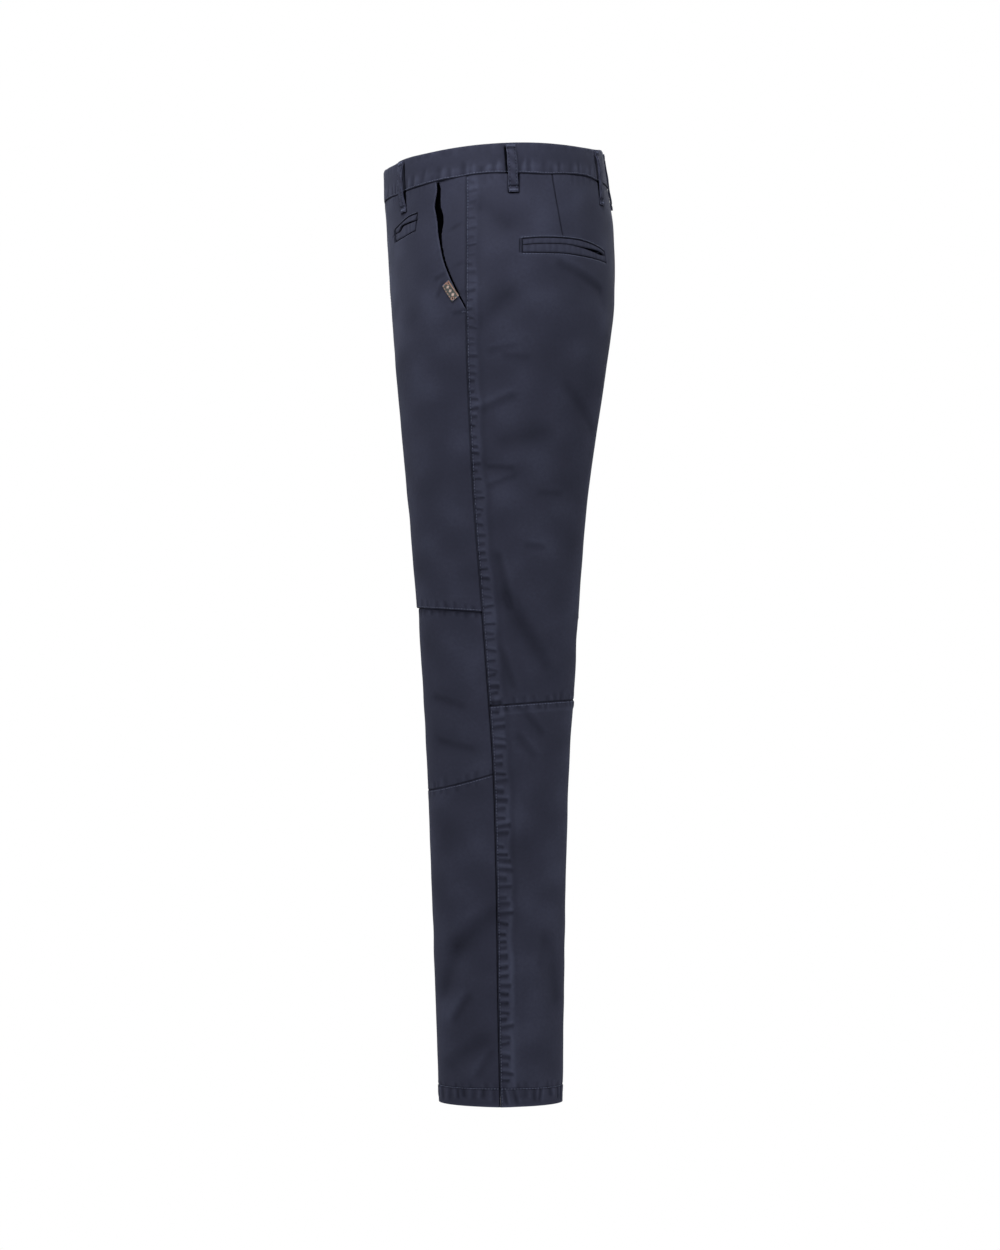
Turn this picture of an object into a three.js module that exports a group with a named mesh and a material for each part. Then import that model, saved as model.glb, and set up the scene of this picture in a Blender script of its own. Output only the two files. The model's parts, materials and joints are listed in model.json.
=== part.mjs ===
// Chino trousers with slanted hip pockets, shaped knees and seven belt loops, in millimetres.
// They keep the hollow form of a wearer. The front faces -Y, the wearer's left is +X and up is +Z.
// The origin is the middle of the waist opening, halfway up the waistband, where the waist holds them.
import * as THREE from "three";

// Cloth and sewing
const CLOTH = 1.5; // wall of a panel
const BAND_WALL = 3; // waistband, two layers with stiffening
const BAND_PROUD = 0.6; // how far the waistband stands out from the panels below it
const HEM_WALL = 3; // the turned-up hem is two layers
const WELT_WALL = 1;
const LOOP_WALL = 1.6;
const GAP = 0.3; // between two pieces that are sewn together

// Heights, before the waist's tilt is added
const BAND_TOP = 15.5;
const BAND_BOTTOM = -20;
const CROTCH = -235;
const HEM_STITCH = -998;
const HEM = -1017.8;

// Form of the sections
const ROUNDNESS = 2.2; // exponent of a section's outline: 2 is an ellipse
const SPLIT_TOP = 16; // the halves start to part here
const SPLIT_POWER = 2.6; // how late they part on the way down to the crotch
const LEG_AXIS = 89; // x of a leg's middle at the crotch
const WAIST_TILT = 0.071; // the back of the waist sits higher than the front
const WAIST_LIFT = 5; // and the hips sit higher than the middle
const WAIST_FADE = 220; // tilt and lift die away over this height

// The left half at a few heights: x of its side, half a leg's width, y of its front, back and side seam
const SECTIONS = [
  { z: 16, side: 157, half: 89, front: -126.2, back: 117.2, seam: -33 },
  { z: -19, side: 163, half: 89, front: -125.4, back: 123.6, seam: -33 },
  { z: -60, side: 174, half: 89, front: -122.8, back: 129.8, seam: -33 },
  { z: -110, side: 184, half: 89, front: -120, back: 131.5, seam: -33 },
  { z: -160, side: 187, half: 89, front: -116, back: 128.5, seam: -33 },
  { z: -200, side: 184, half: 89, front: -112.3, back: 122.5, seam: -32.3 },
  { z: -235, side: 178, half: 89, front: -109.6, back: 117.4, seam: -31.3 },
  { z: -285, side: 174, half: 84, front: -105.1, back: 109.7, seam: -29 },
  { z: -361, side: 168, half: 77, front: -97.9, back: 99.2, seam: -25.2 },
  { z: -449, side: 162, half: 68, front: -90.1, back: 91.9, seam: -18.5 },
  { z: -548, side: 159, half: 60.5, front: -82.4, back: 85.8, seam: -11 },
  { z: -650, side: 158, half: 55, front: -76.6, back: 79, seam: -4 },
  { z: -777, side: 160, half: 52, front: -71.4, back: 75.4, seam: -0.3 },
  { z: -907, side: 162, half: 50, front: -67, back: 73.2, seam: 1.5 },
  { z: -1016, side: 163, half: 49, front: -63, back: 71.5, seam: 3.8 },
];

// Seams across the leg: height at the side seam and inseam, and how far the middle bows up
const WAIST_SEAM = { z: BAND_BOTTOM, bow: 0 };
const FRONT_KNEE = { z: -484.4, bow: 4.6 };
const FRONT_SHIN = { z: -659, bow: -19.5 };
const BACK_KNEE = { z: -585.7, bow: 5.8 };
const HEM_EDGE = { z: HEM, bow: 1.3 };
const BOW_REACH = 75; // rows nearer than this to a seam bow with it
const KNEE_STEP = { over: 0.6, overReach: 25, under: 1.4, underReach: 40 }; // the front at its knee seam

// Hip pocket: the front's slanted edge, from the waistband down to the side seam
const POCKET = { width: 36, bottom: -162, power: 2.45, topIn: 3, topPower: 6 };
const POCKET_GAPE = { out: 2.6, z: -52, height: 30, reach: 14 };
const FACING = { tuck: 26, sink: 3, wall: 1.2, fadeTop: -134, fadeHeight: 13 };
const FACING_ROWS = [-40, -62, -85, -110, -134, -141, -148, -162, -176];

// Fly: the left front laps over the right, which dips under it between two distances from the centre front
const FLY = { lap: 5, bottom: -166, fade: 26, dip: 2.3, bandDip: 3.7, dipFrom: 26, dipTo: 6.5, underlap: 32 };

// Raised seam allowance behind the side seam
const ALLOWANCE = { from: 1, to: 10, slope: 1.2, height: 0.55 };

// Welts: the pocket's mouth runs between two strips. Distances are from the side seam, + towards the back
const BACK_POCKET = { from: 57.5, to: 188, level: 95, mouthGap: 0.9, stepLength: 10 };
const BACK_LINES = {
  top: { z: -85.9, sag: 0.00115 },
  mouth: { z: -92.4, sag: 0.0006 },
  bottom: { z: -101.6, sag: 0.0004 },
};
const COIN_POCKET = { from: -128, to: -69, slope: 0.145, mouthGap: 0.9, stepLength: 10 };
const COIN_LINES = { top: -49.3, mouth: -57.8, bottom: -66.8 }; // heights at the pocket's rear end

// Belt loops: distance from the side seam at the top and at the foot of each
// and the room between the loop and the waistband
const LOOP_WIDTH = 11;
const LOOP_TOP = 14.5;
const LOOPS = {
  front: { top: -95, foot: -95, bottom: -44, slack: 2.5 },
  side: { top: 47.8, foot: 52, bottom: -39, slack: 3 },
  back: { top: 182, foot: 187, bottom: -45, slack: 2.5 },
};
const CENTRE_LOOP = { bottom: -43, slack: 1.2 };

// Tab sewn into the left pocket's edge
const TAB = { top: [-24.3, -131], bottom: [-11.6, -148.7], width: 10.3, wall: 0.9 };

// Folds of the cloth on the left side: ends as distance from the side seam and height, half width, depth
const FOLDS = [
  { s0: 12, z0: -46, s1: 44, z1: -74, width: 9, depth: 1.6 }, // hip, from the pocket back
  { s0: 49, z0: -148, s1: 18, z1: -177, width: 10, depth: 2.2 }, // below the hip
  { s0: 112, z0: -128, s1: 172, z1: -140, width: 13, depth: 1.5 }, // under the back pocket
  { s0: 112, z0: -243, s1: 151, z1: -284, width: 13, depth: 1.8 }, // under the seat
  { s0: 18, z0: -329, s1: 46, z1: -336, width: 9, depth: 1.6 }, // side of the thigh
  { s0: 21, z0: -430, s1: 30, z1: -478, width: 10, depth: 1.8 }, // above the knee
  { s0: 30, z0: -478, s1: 72, z1: -550, width: 11, depth: 2.6 }, // round the back of the knee
  { s0: 140, z0: -516, s1: 190, z1: -498, width: 12, depth: 2 }, // hollow of the knee, inner half
  { s0: -62, z0: -578, s1: -31, z1: -586, width: 9, depth: 1.4 }, // kneecap
  { s0: -60, z0: -625, s1: -22, z1: -633, width: 9, depth: 1.4 }, // below the kneecap
  { s0: -4, z0: -810, s1: -50, z1: -850, width: 10, depth: 2.2 }, // shin
  { s0: -50, z0: -850, s1: -70, z1: -900, width: 10, depth: 2.2 }, // shin, lower
  { s0: -15, z0: -850, s1: -52, z1: -905, width: 9, depth: -1.6 }, // ridge between the shin's folds
  { s0: 58, z0: -842, s1: 69, z1: -910, width: 10, depth: 1.8 }, // calf
  { s0: -250, z0: -252, s1: -190, z1: -300, width: 11, depth: 2.4 }, // from the crotch over the thigh
  { s0: -255, z0: -285, s1: -205, z1: -345, width: 12, depth: 1.8 }, // and lower
  { s0: 305, z0: -255, s1: 230, z1: -305, width: 13, depth: 2.6 }, // from the crotch behind the thigh
  { s0: 215, z0: -560, s1: 170, z1: -510, width: 12, depth: 2 }, // inside of the knee, behind
  { s0: -200, z0: -560, s1: -150, z1: -540, width: 11, depth: 1.6 }, // inside of the knee, in front
];
const RIGHT_FOLDS = { down: 9, back: 5, share: 0.85 }; // the right side folds much the same

// Grid
const RING_STEPS = 240;
const FRONT_CELLS = 11;
const BACK_CELLS = 12;
const BAND_CELLS = 22;
const ROW_STEP = 26;
const HIP_ROWS = [-40, -62, -85, -110, -135, -160, -185, -205];
const CROTCH_ROWS = [-218, -228, CROTCH, -244]; // closer together round the crotch's curve
const FIRST_LEG_ROW = -258;

const clamp = THREE.MathUtils.clamp;
const lerp = THREE.MathUtils.lerp;
const smooth = (x) => THREE.MathUtils.smoothstep(x, 0, 1);

// A smooth curve of height through one column of the sections
function sectionCurve(name) {
  const heights = SECTIONS.map((row) => -row.z);
  const values = SECTIONS.map((row) => row[name]);
  const curve = new THREE.CubicInterpolant(heights, values, 1);
  return (z) => curve.evaluate(-z)[0];
}

const sideAt = sectionCurve("side");
const halfAt = sectionCurve("half");
const frontAt = sectionCurve("front");
const backAt = sectionCurve("back");
const seamAt = sectionCurve("seam");

const rings = new Map();

// The left half's outline at one height, from the centre front round the side to the centre back.
// Below the crotch it is the whole left leg, from the inseam round to the inseam.
function ring(z) {
  if (rings.has(z)) return rings.get(z);
  const parted = smooth((SPLIT_TOP - z) / (SPLIT_TOP - CROTCH)) ** SPLIT_POWER;
  const isLeg = z <= CROTCH;
  const middle = isLeg ? sideAt(z) - halfAt(z) : LEG_AXIS * parted;
  const inner = isLeg ? halfAt(z) : LEG_AXIS;
  const outer = sideAt(z) - middle;
  const depth = (backAt(z) - frontAt(z)) / 2;
  const centre = (backAt(z) + frontAt(z)) / 2;
  const turn = isLeg ? Math.PI : Math.PI - Math.acos(parted ** (ROUNDNESS / 2));
  const bulge = (value) => Math.sign(value) * Math.abs(value) ** (2 / ROUNDNESS);
  const x = [];
  const y = [];
  const length = [0];
  for (let k = 0; k <= RING_STEPS; k++) {
    const angle = lerp(-turn, turn, k / RING_STEPS);
    x.push(middle + (Math.cos(angle) > 0 ? outer : inner) * bulge(Math.cos(angle)));
    y.push(centre + depth * bulge(Math.sin(angle)));
    if (k > 0) length.push(length[k - 1] + Math.hypot(x[k] - x[k - 1], y[k] - y[k - 1]));
  }
  let k = 1;
  while (x[k] <= middle || y[k] < seamAt(z)) k++;
  const seamLength = lerp(length[k - 1], length[k], (seamAt(z) - y[k - 1]) / (y[k] - y[k - 1]));
  const made = { x, y, from: length.map((value) => value - seamLength) };
  rings.set(z, made);
  return made;
}

const frontLength = (z) => -ring(z).from[0];
const backLength = (z) => ring(z).from[RING_STEPS];

// Added height: the waist is tilted up at the back and lifted over the hips
function waistRise(x, y, z) {
  const share = smooth(1 - (SPLIT_TOP - z) / WAIST_FADE);
  return share * (WAIST_TILT * y + WAIST_LIFT * (x / sideAt(z)) ** 2);
}

// A point of the cloth: side is 1 for the wearer's left, s is the distance from the side seam along the
// cloth, + to the back, and out moves it off the surface. Past the centre it carries on over the other side.
function place(side, s, z, out) {
  if (s > backLength(z)) return place(-side, 2 * backLength(z) - s, z, out);
  if (s < -frontLength(z)) return place(-side, -2 * frontLength(z) - s, z, out);
  const { x, y, from } = ring(z);
  let low = 0;
  let high = RING_STEPS;
  while (high - low > 1) {
    const half = (low + high) >> 1;
    if (from[half] <= s) low = half;
    else high = half;
  }
  const share = (s - from[low]) / (from[high] - from[low]);
  const before = Math.max(low - 1, 0);
  const after = Math.min(high + 1, RING_STEPS);
  const along = new THREE.Vector2(x[after] - x[before], y[after] - y[before]).normalize();
  const px = Math.max(lerp(x[low], x[high], share) + along.y * out, GAP / 2);
  const py = lerp(y[low], y[high], share) - along.x * out;
  return new THREE.Vector3(side * px, py, z + waistRise(px, py, z));
}

// A closed piece of cloth from a grid: columns run from front to back and rows from top to bottom.
// point(i, j, wall) is a grid point, moved in by wall.
function clothGeometry(columns, rows, side, wall, point) {
  const positions = [];
  const index = [];
  const layerSize = columns * rows;
  for (const depth of [0, 1]) {
    for (let j = 0; j < rows; j++) {
      for (let i = 0; i < columns; i++) positions.push(...point(i, j, depth * wall).toArray());
    }
  }
  const quad = (a, b, c, d) => {
    if (side > 0) index.push(a, b, c, a, c, d);
    else index.push(a, c, b, a, d, c);
  };
  const at = (i, j, layer) => layer * layerSize + j * columns + i;
  for (let j = 0; j + 1 < rows; j++) {
    for (let i = 0; i + 1 < columns; i++) {
      quad(at(i, j, 0), at(i, j + 1, 0), at(i + 1, j + 1, 0), at(i + 1, j, 0));
      quad(at(i, j, 1), at(i + 1, j, 1), at(i + 1, j + 1, 1), at(i, j + 1, 1));
    }
    const last = columns - 1;
    quad(at(0, j, 0), at(0, j, 1), at(0, j + 1, 1), at(0, j + 1, 0));
    quad(at(last, j, 0), at(last, j + 1, 0), at(last, j + 1, 1), at(last, j, 1));
  }
  for (let i = 0; i + 1 < columns; i++) {
    const last = rows - 1;
    quad(at(i, 0, 0), at(i + 1, 0, 0), at(i + 1, 0, 1), at(i, 0, 1));
    quad(at(i, last, 0), at(i, last, 1), at(i + 1, last, 1), at(i + 1, last, 0));
  }
  const geometry = new THREE.BufferGeometry();
  geometry.setAttribute("position", new THREE.Float32BufferAttribute(positions, 3));
  geometry.setIndex(index);
  geometry.computeVertexNormals();
  return geometry;
}

// How far a point lies from a fold's line, in the unrolled cloth
function foldDistance(fold, s, z) {
  const ds = fold.s1 - fold.s0;
  const dz = fold.z1 - fold.z0;
  const share = clamp(((s - fold.s0) * ds + (z - fold.z0) * dz) / (ds * ds + dz * dz), 0, 1);
  return Math.hypot(s - fold.s0 - share * ds, z - fold.z0 - share * dz);
}

// The folds' depth at a point, as a move out from the form
function foldRelief(side, s, z) {
  const onLeft = side > 0;
  const across = onLeft ? s : s - RIGHT_FOLDS.back;
  const height = onLeft ? z : z + RIGHT_FOLDS.down;
  let depth = 0;
  for (const fold of FOLDS) {
    depth += fold.depth * Math.exp(-((foldDistance(fold, across, height) / fold.width) ** 2));
  }
  return -depth * (onLeft ? 1 : RIGHT_FOLDS.share);
}

// The front's edge along the hip pocket, as a distance in front of the side seam
function pocketEdge(z) {
  const down = clamp((BAND_BOTTOM - z) / (BAND_BOTTOM - POCKET.bottom), 0, 1);
  return POCKET.width * (1 - down ** POCKET.power) - POCKET.topIn * (1 - down) ** POCKET.topPower;
}

const lapShare = (z) => smooth((z - FLY.bottom) / FLY.fade);

// How far the right side dips under the left at a distance from the centre front: 1 is all the way
const dipShare = (fromCentre) => smooth((FLY.dipFrom - fromCentre) / (FLY.dipFrom - FLY.dipTo));

// Distances from the centre front of a piece's columns: its edge, the ends of the dip, then even cells
function centreColumns(edge, sideEdge, cells) {
  const columns = [edge, FLY.dipTo];
  for (let k = 0; k <= cells; k++) columns.push(lerp(FLY.dipFrom, sideEdge, k / cells));
  return columns;
}

// Row heights between two seams: the shared rows, with the panel's own edges half a gap short of the seams
function rowLevels(top, bottom) {
  const levels = [...HIP_ROWS, ...CROTCH_ROWS];
  for (let z = FIRST_LEG_ROW; z > HEM_STITCH + ROW_STEP / 2; z -= ROW_STEP) levels.push(z);
  levels.push(HEM_STITCH + 0.5, HEM_STITCH - 0.5);
  const between = levels.filter((z) => z < top.z - ROW_STEP / 4 && z > bottom.z + ROW_STEP / 4);
  const last = bottom === HEM_EDGE ? HEM : bottom.z + GAP / 2;
  return [top.z - GAP / 2, ...between, last];
}

// A row near a bowed seam bows with it: share is the way round from the side seam to the inseam
function bowedHeight(level, share, top, bottom) {
  const bow = (seam) => seam.bow * Math.max(0, 1 - Math.abs(level - seam.z) / BOW_REACH);
  return level + Math.sin(Math.PI * share) * (bow(top) + bow(bottom));
}

const layerWall = (z) => (z < HEM_STITCH ? HEM_WALL : CLOTH);

// Materials
const navy = { color: 0x34384b, roughness: 0.86, metalness: 0 };
const twill = new THREE.MeshStandardMaterial(navy);
const weltTwill = new THREE.MeshStandardMaterial({ ...navy, color: 0x303447 });
const facingTwill = new THREE.MeshStandardMaterial({ ...navy, color: 0x2d3142 });
const tabCloth = new THREE.MeshStandardMaterial({ color: 0x77706a, roughness: 0.8, metalness: 0 });

const group = new THREE.Group();

function add(name, geometry, material) {
  const mesh = new THREE.Mesh(geometry, material);
  mesh.name = name;
  group.add(mesh);
  return mesh;
}

// Extra move out of the front cloth: the pocket's gape, the step at the knee seam and the fly's lap
function frontRelief(side, s, z, top, bottom) {
  let out = foldRelief(side, s, z);
  if (top === WAIST_SEAM) {
    const inside = Math.max(0, -s - pocketEdge(z)) / POCKET_GAPE.reach;
    out += POCKET_GAPE.out * Math.exp(-(((z - POCKET_GAPE.z) / POCKET_GAPE.height) ** 2) - inside);
    out += KNEE_STEP.over * Math.exp((bottom.z - z) / KNEE_STEP.overReach);
  }
  if (top === FRONT_KNEE) out -= KNEE_STEP.under * Math.exp((z - top.z) / KNEE_STEP.underReach);
  if (side < 0) out -= FLY.dip * lapShare(z + FLY.fade) * dipShare(frontLength(z) + s);
  return out;
}

// Front of a leg between two seams, from the centre front or inseam to the side seam or pocket edge
function frontPanel(side, top, bottom) {
  const levels = rowLevels(top, bottom);
  const columnsAt = (z) => {
    const lap = side > 0 ? FLY.lap * lapShare(z) : 0;
    const sideEdge = Math.max(pocketEdge(z), GAP / 2);
    return centreColumns(lap > 0 ? -lap : GAP / 2, frontLength(z) - sideEdge, FRONT_CELLS);
  };
  const point = (i, j, wall) => {
    const flat = levels[j];
    const z = bowedHeight(flat, 1 - columnsAt(flat)[i] / frontLength(flat), top, bottom);
    const s = columnsAt(z)[i] - frontLength(z);
    return place(side, s, z, frontRelief(side, s, z, top, bottom) - (wall && layerWall(flat)));
  };
  return clothGeometry(FRONT_CELLS + 3, levels.length, side, 1, point);
}

// Back of a leg between two seams, with the raised allowance next to the side seam
function backPanel(side, top, bottom) {
  const levels = rowLevels(top, bottom);
  const { from, to, slope, height } = ALLOWANCE;
  const edgeColumns = [GAP / 2, from + slope, to - slope, to];
  const columns = edgeColumns.length + BACK_CELLS;
  const point = (i, j, wall) => {
    const cell = (i - edgeColumns.length + 1) / BACK_CELLS;
    const columnAt = (z) => (cell > 0 ? lerp(to, backLength(z) - GAP / 2, cell) : edgeColumns[i]);
    const flat = levels[j];
    const z = bowedHeight(flat, columnAt(flat) / backLength(flat), top, bottom);
    const s = columnAt(z);
    const raised = height * (smooth((s - from) / slope + 0.5) - smooth((s - to) / slope + 1));
    return place(side, s, z, foldRelief(side, s, z) + raised - (wall && layerWall(flat)));
  };
  return clothGeometry(columns, levels.length, side, 1, point);
}

// Pocket facing: flush at the side seam, sinking under the front's slanted edge
function pocketFacing(side) {
  const levels = [BAND_BOTTOM - GAP / 2, ...FACING_ROWS];
  const columns = 8;
  const point = (i, j, wall) => {
    const z = levels[j];
    const edge = pocketEdge(z);
    const s = -lerp(edge + FACING.tuck, GAP / 2, i / (columns - 1));
    const under = Math.max(smooth(-s / Math.max(edge, 1)), smooth((FACING.fadeTop - z) / FACING.fadeHeight));
    return place(side, s, z, foldRelief(side, s, z) - FACING.sink * under - wall);
  };
  return clothGeometry(columns, levels.length, side, FACING.wall, point);
}

// Half of the waistband. The left half laps over the centre front, and the right half runs on under it
function waistband(side) {
  const levels = [BAND_TOP, 4, -8, BAND_BOTTOM + GAP / 2];
  const point = (i, j, wall) => {
    const z = levels[j];
    const past = side > 0 ? FLY.lap : FLY.underlap;
    const fromCentre = centreColumns(-past, frontLength(z) + backLength(z) - GAP / 2, BAND_CELLS)[i];
    const dip = side < 0 ? FLY.bandDip * dipShare(fromCentre) : 0;
    return place(side, fromCentre - frontLength(z), z, BAND_PROUD - dip - wall);
  };
  return clothGeometry(BAND_CELLS + 3, levels.length, side, BAND_WALL, point);
}

// A strip that lies on a panel between two lines, given as functions of s
function strip(side, from, to, stepLength, upperLine, lowerLine) {
  const steps = Math.ceil((to - from) / stepLength);
  const point = (i, j, wall) => {
    const s = lerp(from, to, i / steps);
    const z = lerp(upperLine(s), lowerLine(s), j / 2);
    return place(side, s, z, GAP + WELT_WALL - wall);
  };
  return clothGeometry(steps + 1, 3, side, WELT_WALL, point);
}

// Two welts of a back pocket, with its mouth between them
function backPocket(side, name) {
  const line = ({ z, sag }, move = 0) => (s) => z + move - sag * (s - BACK_POCKET.level) ** 2;
  const { from, to, stepLength, mouthGap } = BACK_POCKET;
  const upper = [line(BACK_LINES.top), line(BACK_LINES.mouth, mouthGap / 2)];
  const lower = [line(BACK_LINES.mouth, -mouthGap / 2), line(BACK_LINES.bottom)];
  add(`back_welt_upper_${name}`, strip(side, from, to, stepLength, ...upper), weltTwill);
  add(`back_welt_lower_${name}`, strip(side, from, to, stepLength, ...lower), weltTwill);
}

// Two welts of the coin pocket, on the left front alone
function coinPocket() {
  const { from, to, stepLength, mouthGap, slope } = COIN_POCKET;
  const line = (z, move = 0) => (s) => z + move + slope * (s - to);
  const upper = [line(COIN_LINES.top), line(COIN_LINES.mouth, mouthGap / 2)];
  const lower = [line(COIN_LINES.mouth, -mouthGap / 2), line(COIN_LINES.bottom)];
  add("coin_welt_upper", strip(1, from, to, stepLength, ...upper), weltTwill);
  add("coin_welt_lower", strip(1, from, to, stepLength, ...lower), weltTwill);
}

// A belt loop: sewn flat at both ends, standing off the waistband between them
function beltLoop(side, { top, foot, bottom, slack }) {
  const onBand = BAND_PROUD + GAP;
  const stations = [
    { z: LOOP_TOP, out: onBand },
    { z: LOOP_TOP - 4, out: onBand },
    { z: LOOP_TOP - 9, out: onBand + slack },
    { z: -6, out: onBand + slack + 0.4 },
    { z: BAND_BOTTOM - 4, out: onBand + slack - 0.4 },
    { z: bottom + 9, out: onBand },
    { z: bottom + 6.5, out: GAP },
    { z: bottom, out: GAP },
  ];
  const point = (i, j, wall) => {
    const { z, out } = stations[j];
    const middle = lerp(top, foot, (LOOP_TOP - z) / (LOOP_TOP - bottom));
    return place(side, middle + (i - 1) * (LOOP_WIDTH / 2), z, out + LOOP_WALL - wall);
  };
  return clothGeometry(3, stations.length, side, LOOP_WALL, point);
}

// Tab over the left front, next to the pocket's edge
function pocketTab() {
  const [s0, z0] = TAB.top;
  const [s1, z1] = TAB.bottom;
  const length = Math.hypot(s1 - s0, z1 - z0);
  const across = [((z0 - z1) / length) * TAB.width, ((s1 - s0) / length) * TAB.width];
  const point = (i, j, wall) => {
    const width = i / 3 - 0.5;
    const s = lerp(s0, s1, j / 4) + across[0] * width;
    const z = lerp(z0, z1, j / 4) + across[1] * width;
    return place(1, s, z, frontRelief(1, s, z, WAIST_SEAM, FRONT_KNEE) + GAP + TAB.wall - wall);
  };
  return clothGeometry(4, 5, 1, TAB.wall, point);
}

for (const [name, side] of [["left", 1], ["right", -1]]) {
  add(`waistband_${name}`, waistband(side), twill);
  add(`front_upper_${name}`, frontPanel(side, WAIST_SEAM, FRONT_KNEE), twill);
  add(`front_knee_${name}`, frontPanel(side, FRONT_KNEE, FRONT_SHIN), twill);
  add(`front_lower_${name}`, frontPanel(side, FRONT_SHIN, HEM_EDGE), twill);
  add(`back_upper_${name}`, backPanel(side, WAIST_SEAM, BACK_KNEE), twill);
  add(`back_lower_${name}`, backPanel(side, BACK_KNEE, HEM_EDGE), twill);
  add(`pocket_facing_${name}`, pocketFacing(side), facingTwill);
  backPocket(side, name);
  for (const [where, loop] of Object.entries(LOOPS)) {
    add(`belt_loop_${where}_${name}`, beltLoop(side, loop), twill);
  }
}
const centreBack = backLength(0);
const centreLoop = { top: centreBack, foot: centreBack, ...CENTRE_LOOP };
add("belt_loop_centre_back", beltLoop(1, centreLoop), twill);
coinPocket();
add("pocket_tab", pocketTab(), tabCloth);

export default group;
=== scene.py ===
# Chino trousers, filled out with no wearer: cloth, folds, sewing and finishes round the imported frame.
# Sizes are in millimetres and become metres when a mesh is made. Front is -Y, the wearer's left is +X.
import json
import logging
import math
from dataclasses import dataclass, field
from enum import Enum
from typing import Callable, NamedTuple, Sequence

import bpy
import numpy as np
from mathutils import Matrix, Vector

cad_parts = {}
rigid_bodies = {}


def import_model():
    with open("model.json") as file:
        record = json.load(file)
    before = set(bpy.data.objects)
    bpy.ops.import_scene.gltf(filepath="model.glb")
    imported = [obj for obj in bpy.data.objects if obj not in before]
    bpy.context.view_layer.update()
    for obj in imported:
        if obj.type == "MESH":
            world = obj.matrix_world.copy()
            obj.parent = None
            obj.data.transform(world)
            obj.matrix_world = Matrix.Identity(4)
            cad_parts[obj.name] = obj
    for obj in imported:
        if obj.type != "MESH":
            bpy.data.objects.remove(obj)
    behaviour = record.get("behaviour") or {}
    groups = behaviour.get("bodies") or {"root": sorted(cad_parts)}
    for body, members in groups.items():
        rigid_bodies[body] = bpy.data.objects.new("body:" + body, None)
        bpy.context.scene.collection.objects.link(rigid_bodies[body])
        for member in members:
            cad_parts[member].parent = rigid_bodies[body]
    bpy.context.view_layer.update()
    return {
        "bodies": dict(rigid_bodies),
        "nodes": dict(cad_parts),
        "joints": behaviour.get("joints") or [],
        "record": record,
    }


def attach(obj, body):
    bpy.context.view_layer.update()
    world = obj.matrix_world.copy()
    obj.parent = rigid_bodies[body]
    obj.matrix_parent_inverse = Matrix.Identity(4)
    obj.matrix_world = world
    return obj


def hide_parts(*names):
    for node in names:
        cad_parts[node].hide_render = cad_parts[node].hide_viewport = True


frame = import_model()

Array = np.ndarray
Surface = Callable[[Array, Array], Array]

log = logging.getLogger("trousers")
MM = 0.001

# Cloth and sewing
CLOTH = 1.5  # wall of a panel
BAND_WALL = 3.0  # waistband, two layers with stiffening
BAND_PROUD = 0.6  # how far the waistband stands out from the panels
HEM_WALL = 3.0
WELT_WALL = 1.0
LOOP_WALL = 1.6
GAP = 0.3  # between a piece and the panel that it lies on
SEAM_GAP = 0.04  # between two panels that are sewn together

# Heights, before the waist's tilt is added
BAND_TOP = 15.5
BAND_BOTTOM = -18.0
CROTCH = -235.0
HEM_STITCH = -998.0
HEM = -1017.8


class Side(Enum):
    """Which half of the garment, as the wearer has it."""

    LEFT = 1
    RIGHT = -1

    @property
    def word(self) -> str:
        """The side's name as it stands in a piece's name."""
        return self.name.lower()


class Held(Enum):
    """How a sheet is held, in the frame's words."""

    HUNG = "hung"
    STRETCHED = "stretched"


class Slot(Enum):
    """The record's material slots."""

    TWILL = "cotton_twill"
    TAB = "woven_tab"


class Section(NamedTuple):
    """The left half at one height: x of its side, half a leg's width, y of its front, back and side seam."""

    z: float
    side: float
    half: float
    front: float
    back: float
    seam: float


SECTIONS = (
    Section(16, 157, 89, -126.2, 117.2, -33),
    Section(-19, 163, 89, -125.4, 123.6, -33),
    Section(-60, 174, 89, -122.8, 129.8, -33),
    Section(-110, 184, 89, -120, 131.5, -33),
    Section(-160, 187, 89, -116, 128.5, -33),
    Section(-200, 184, 89, -112.3, 122.5, -32.3),
    Section(-235, 178, 89, -109.6, 117.4, -31.3),
    Section(-285, 174, 84, -105.1, 109.7, -29),
    Section(-361, 168, 77, -97.9, 99.2, -25.2),
    Section(-449, 162, 68, -90.1, 91.9, -18.5),
    Section(-548, 159, 60.5, -82.4, 85.8, -11),
    Section(-650, 158, 55, -76.6, 79, -4),
    Section(-777, 160, 52, -71.4, 75.4, -0.3),
    Section(-907, 162, 50, -67, 73.2, 1.5),
    Section(-1016, 163, 49, -63, 71.5, 3.8),
)


class Seam(NamedTuple):
    """A seam across the leg: its height at the side seam and inseam, and how far its middle bows up."""

    z: float
    bow: float


WAIST_SEAM = Seam(BAND_BOTTOM, 0)
FRONT_KNEE = Seam(-484.4, 4.6)
FRONT_SHIN = Seam(-659, -19.5)
BACK_KNEE = Seam(-585.7, 5.8)
HEM_EDGE = Seam(HEM, 1.3)
BOW_REACH = 75.0  # rows nearer than this to a seam bow with it


class Fold(NamedTuple):
    """A soft trough: its ends as distance from the side seam and height, half width, depth, raised edge."""

    s0: float
    z0: float
    s1: float
    z1: float
    width: float
    depth: float
    ridge: float = 0.0


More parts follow.
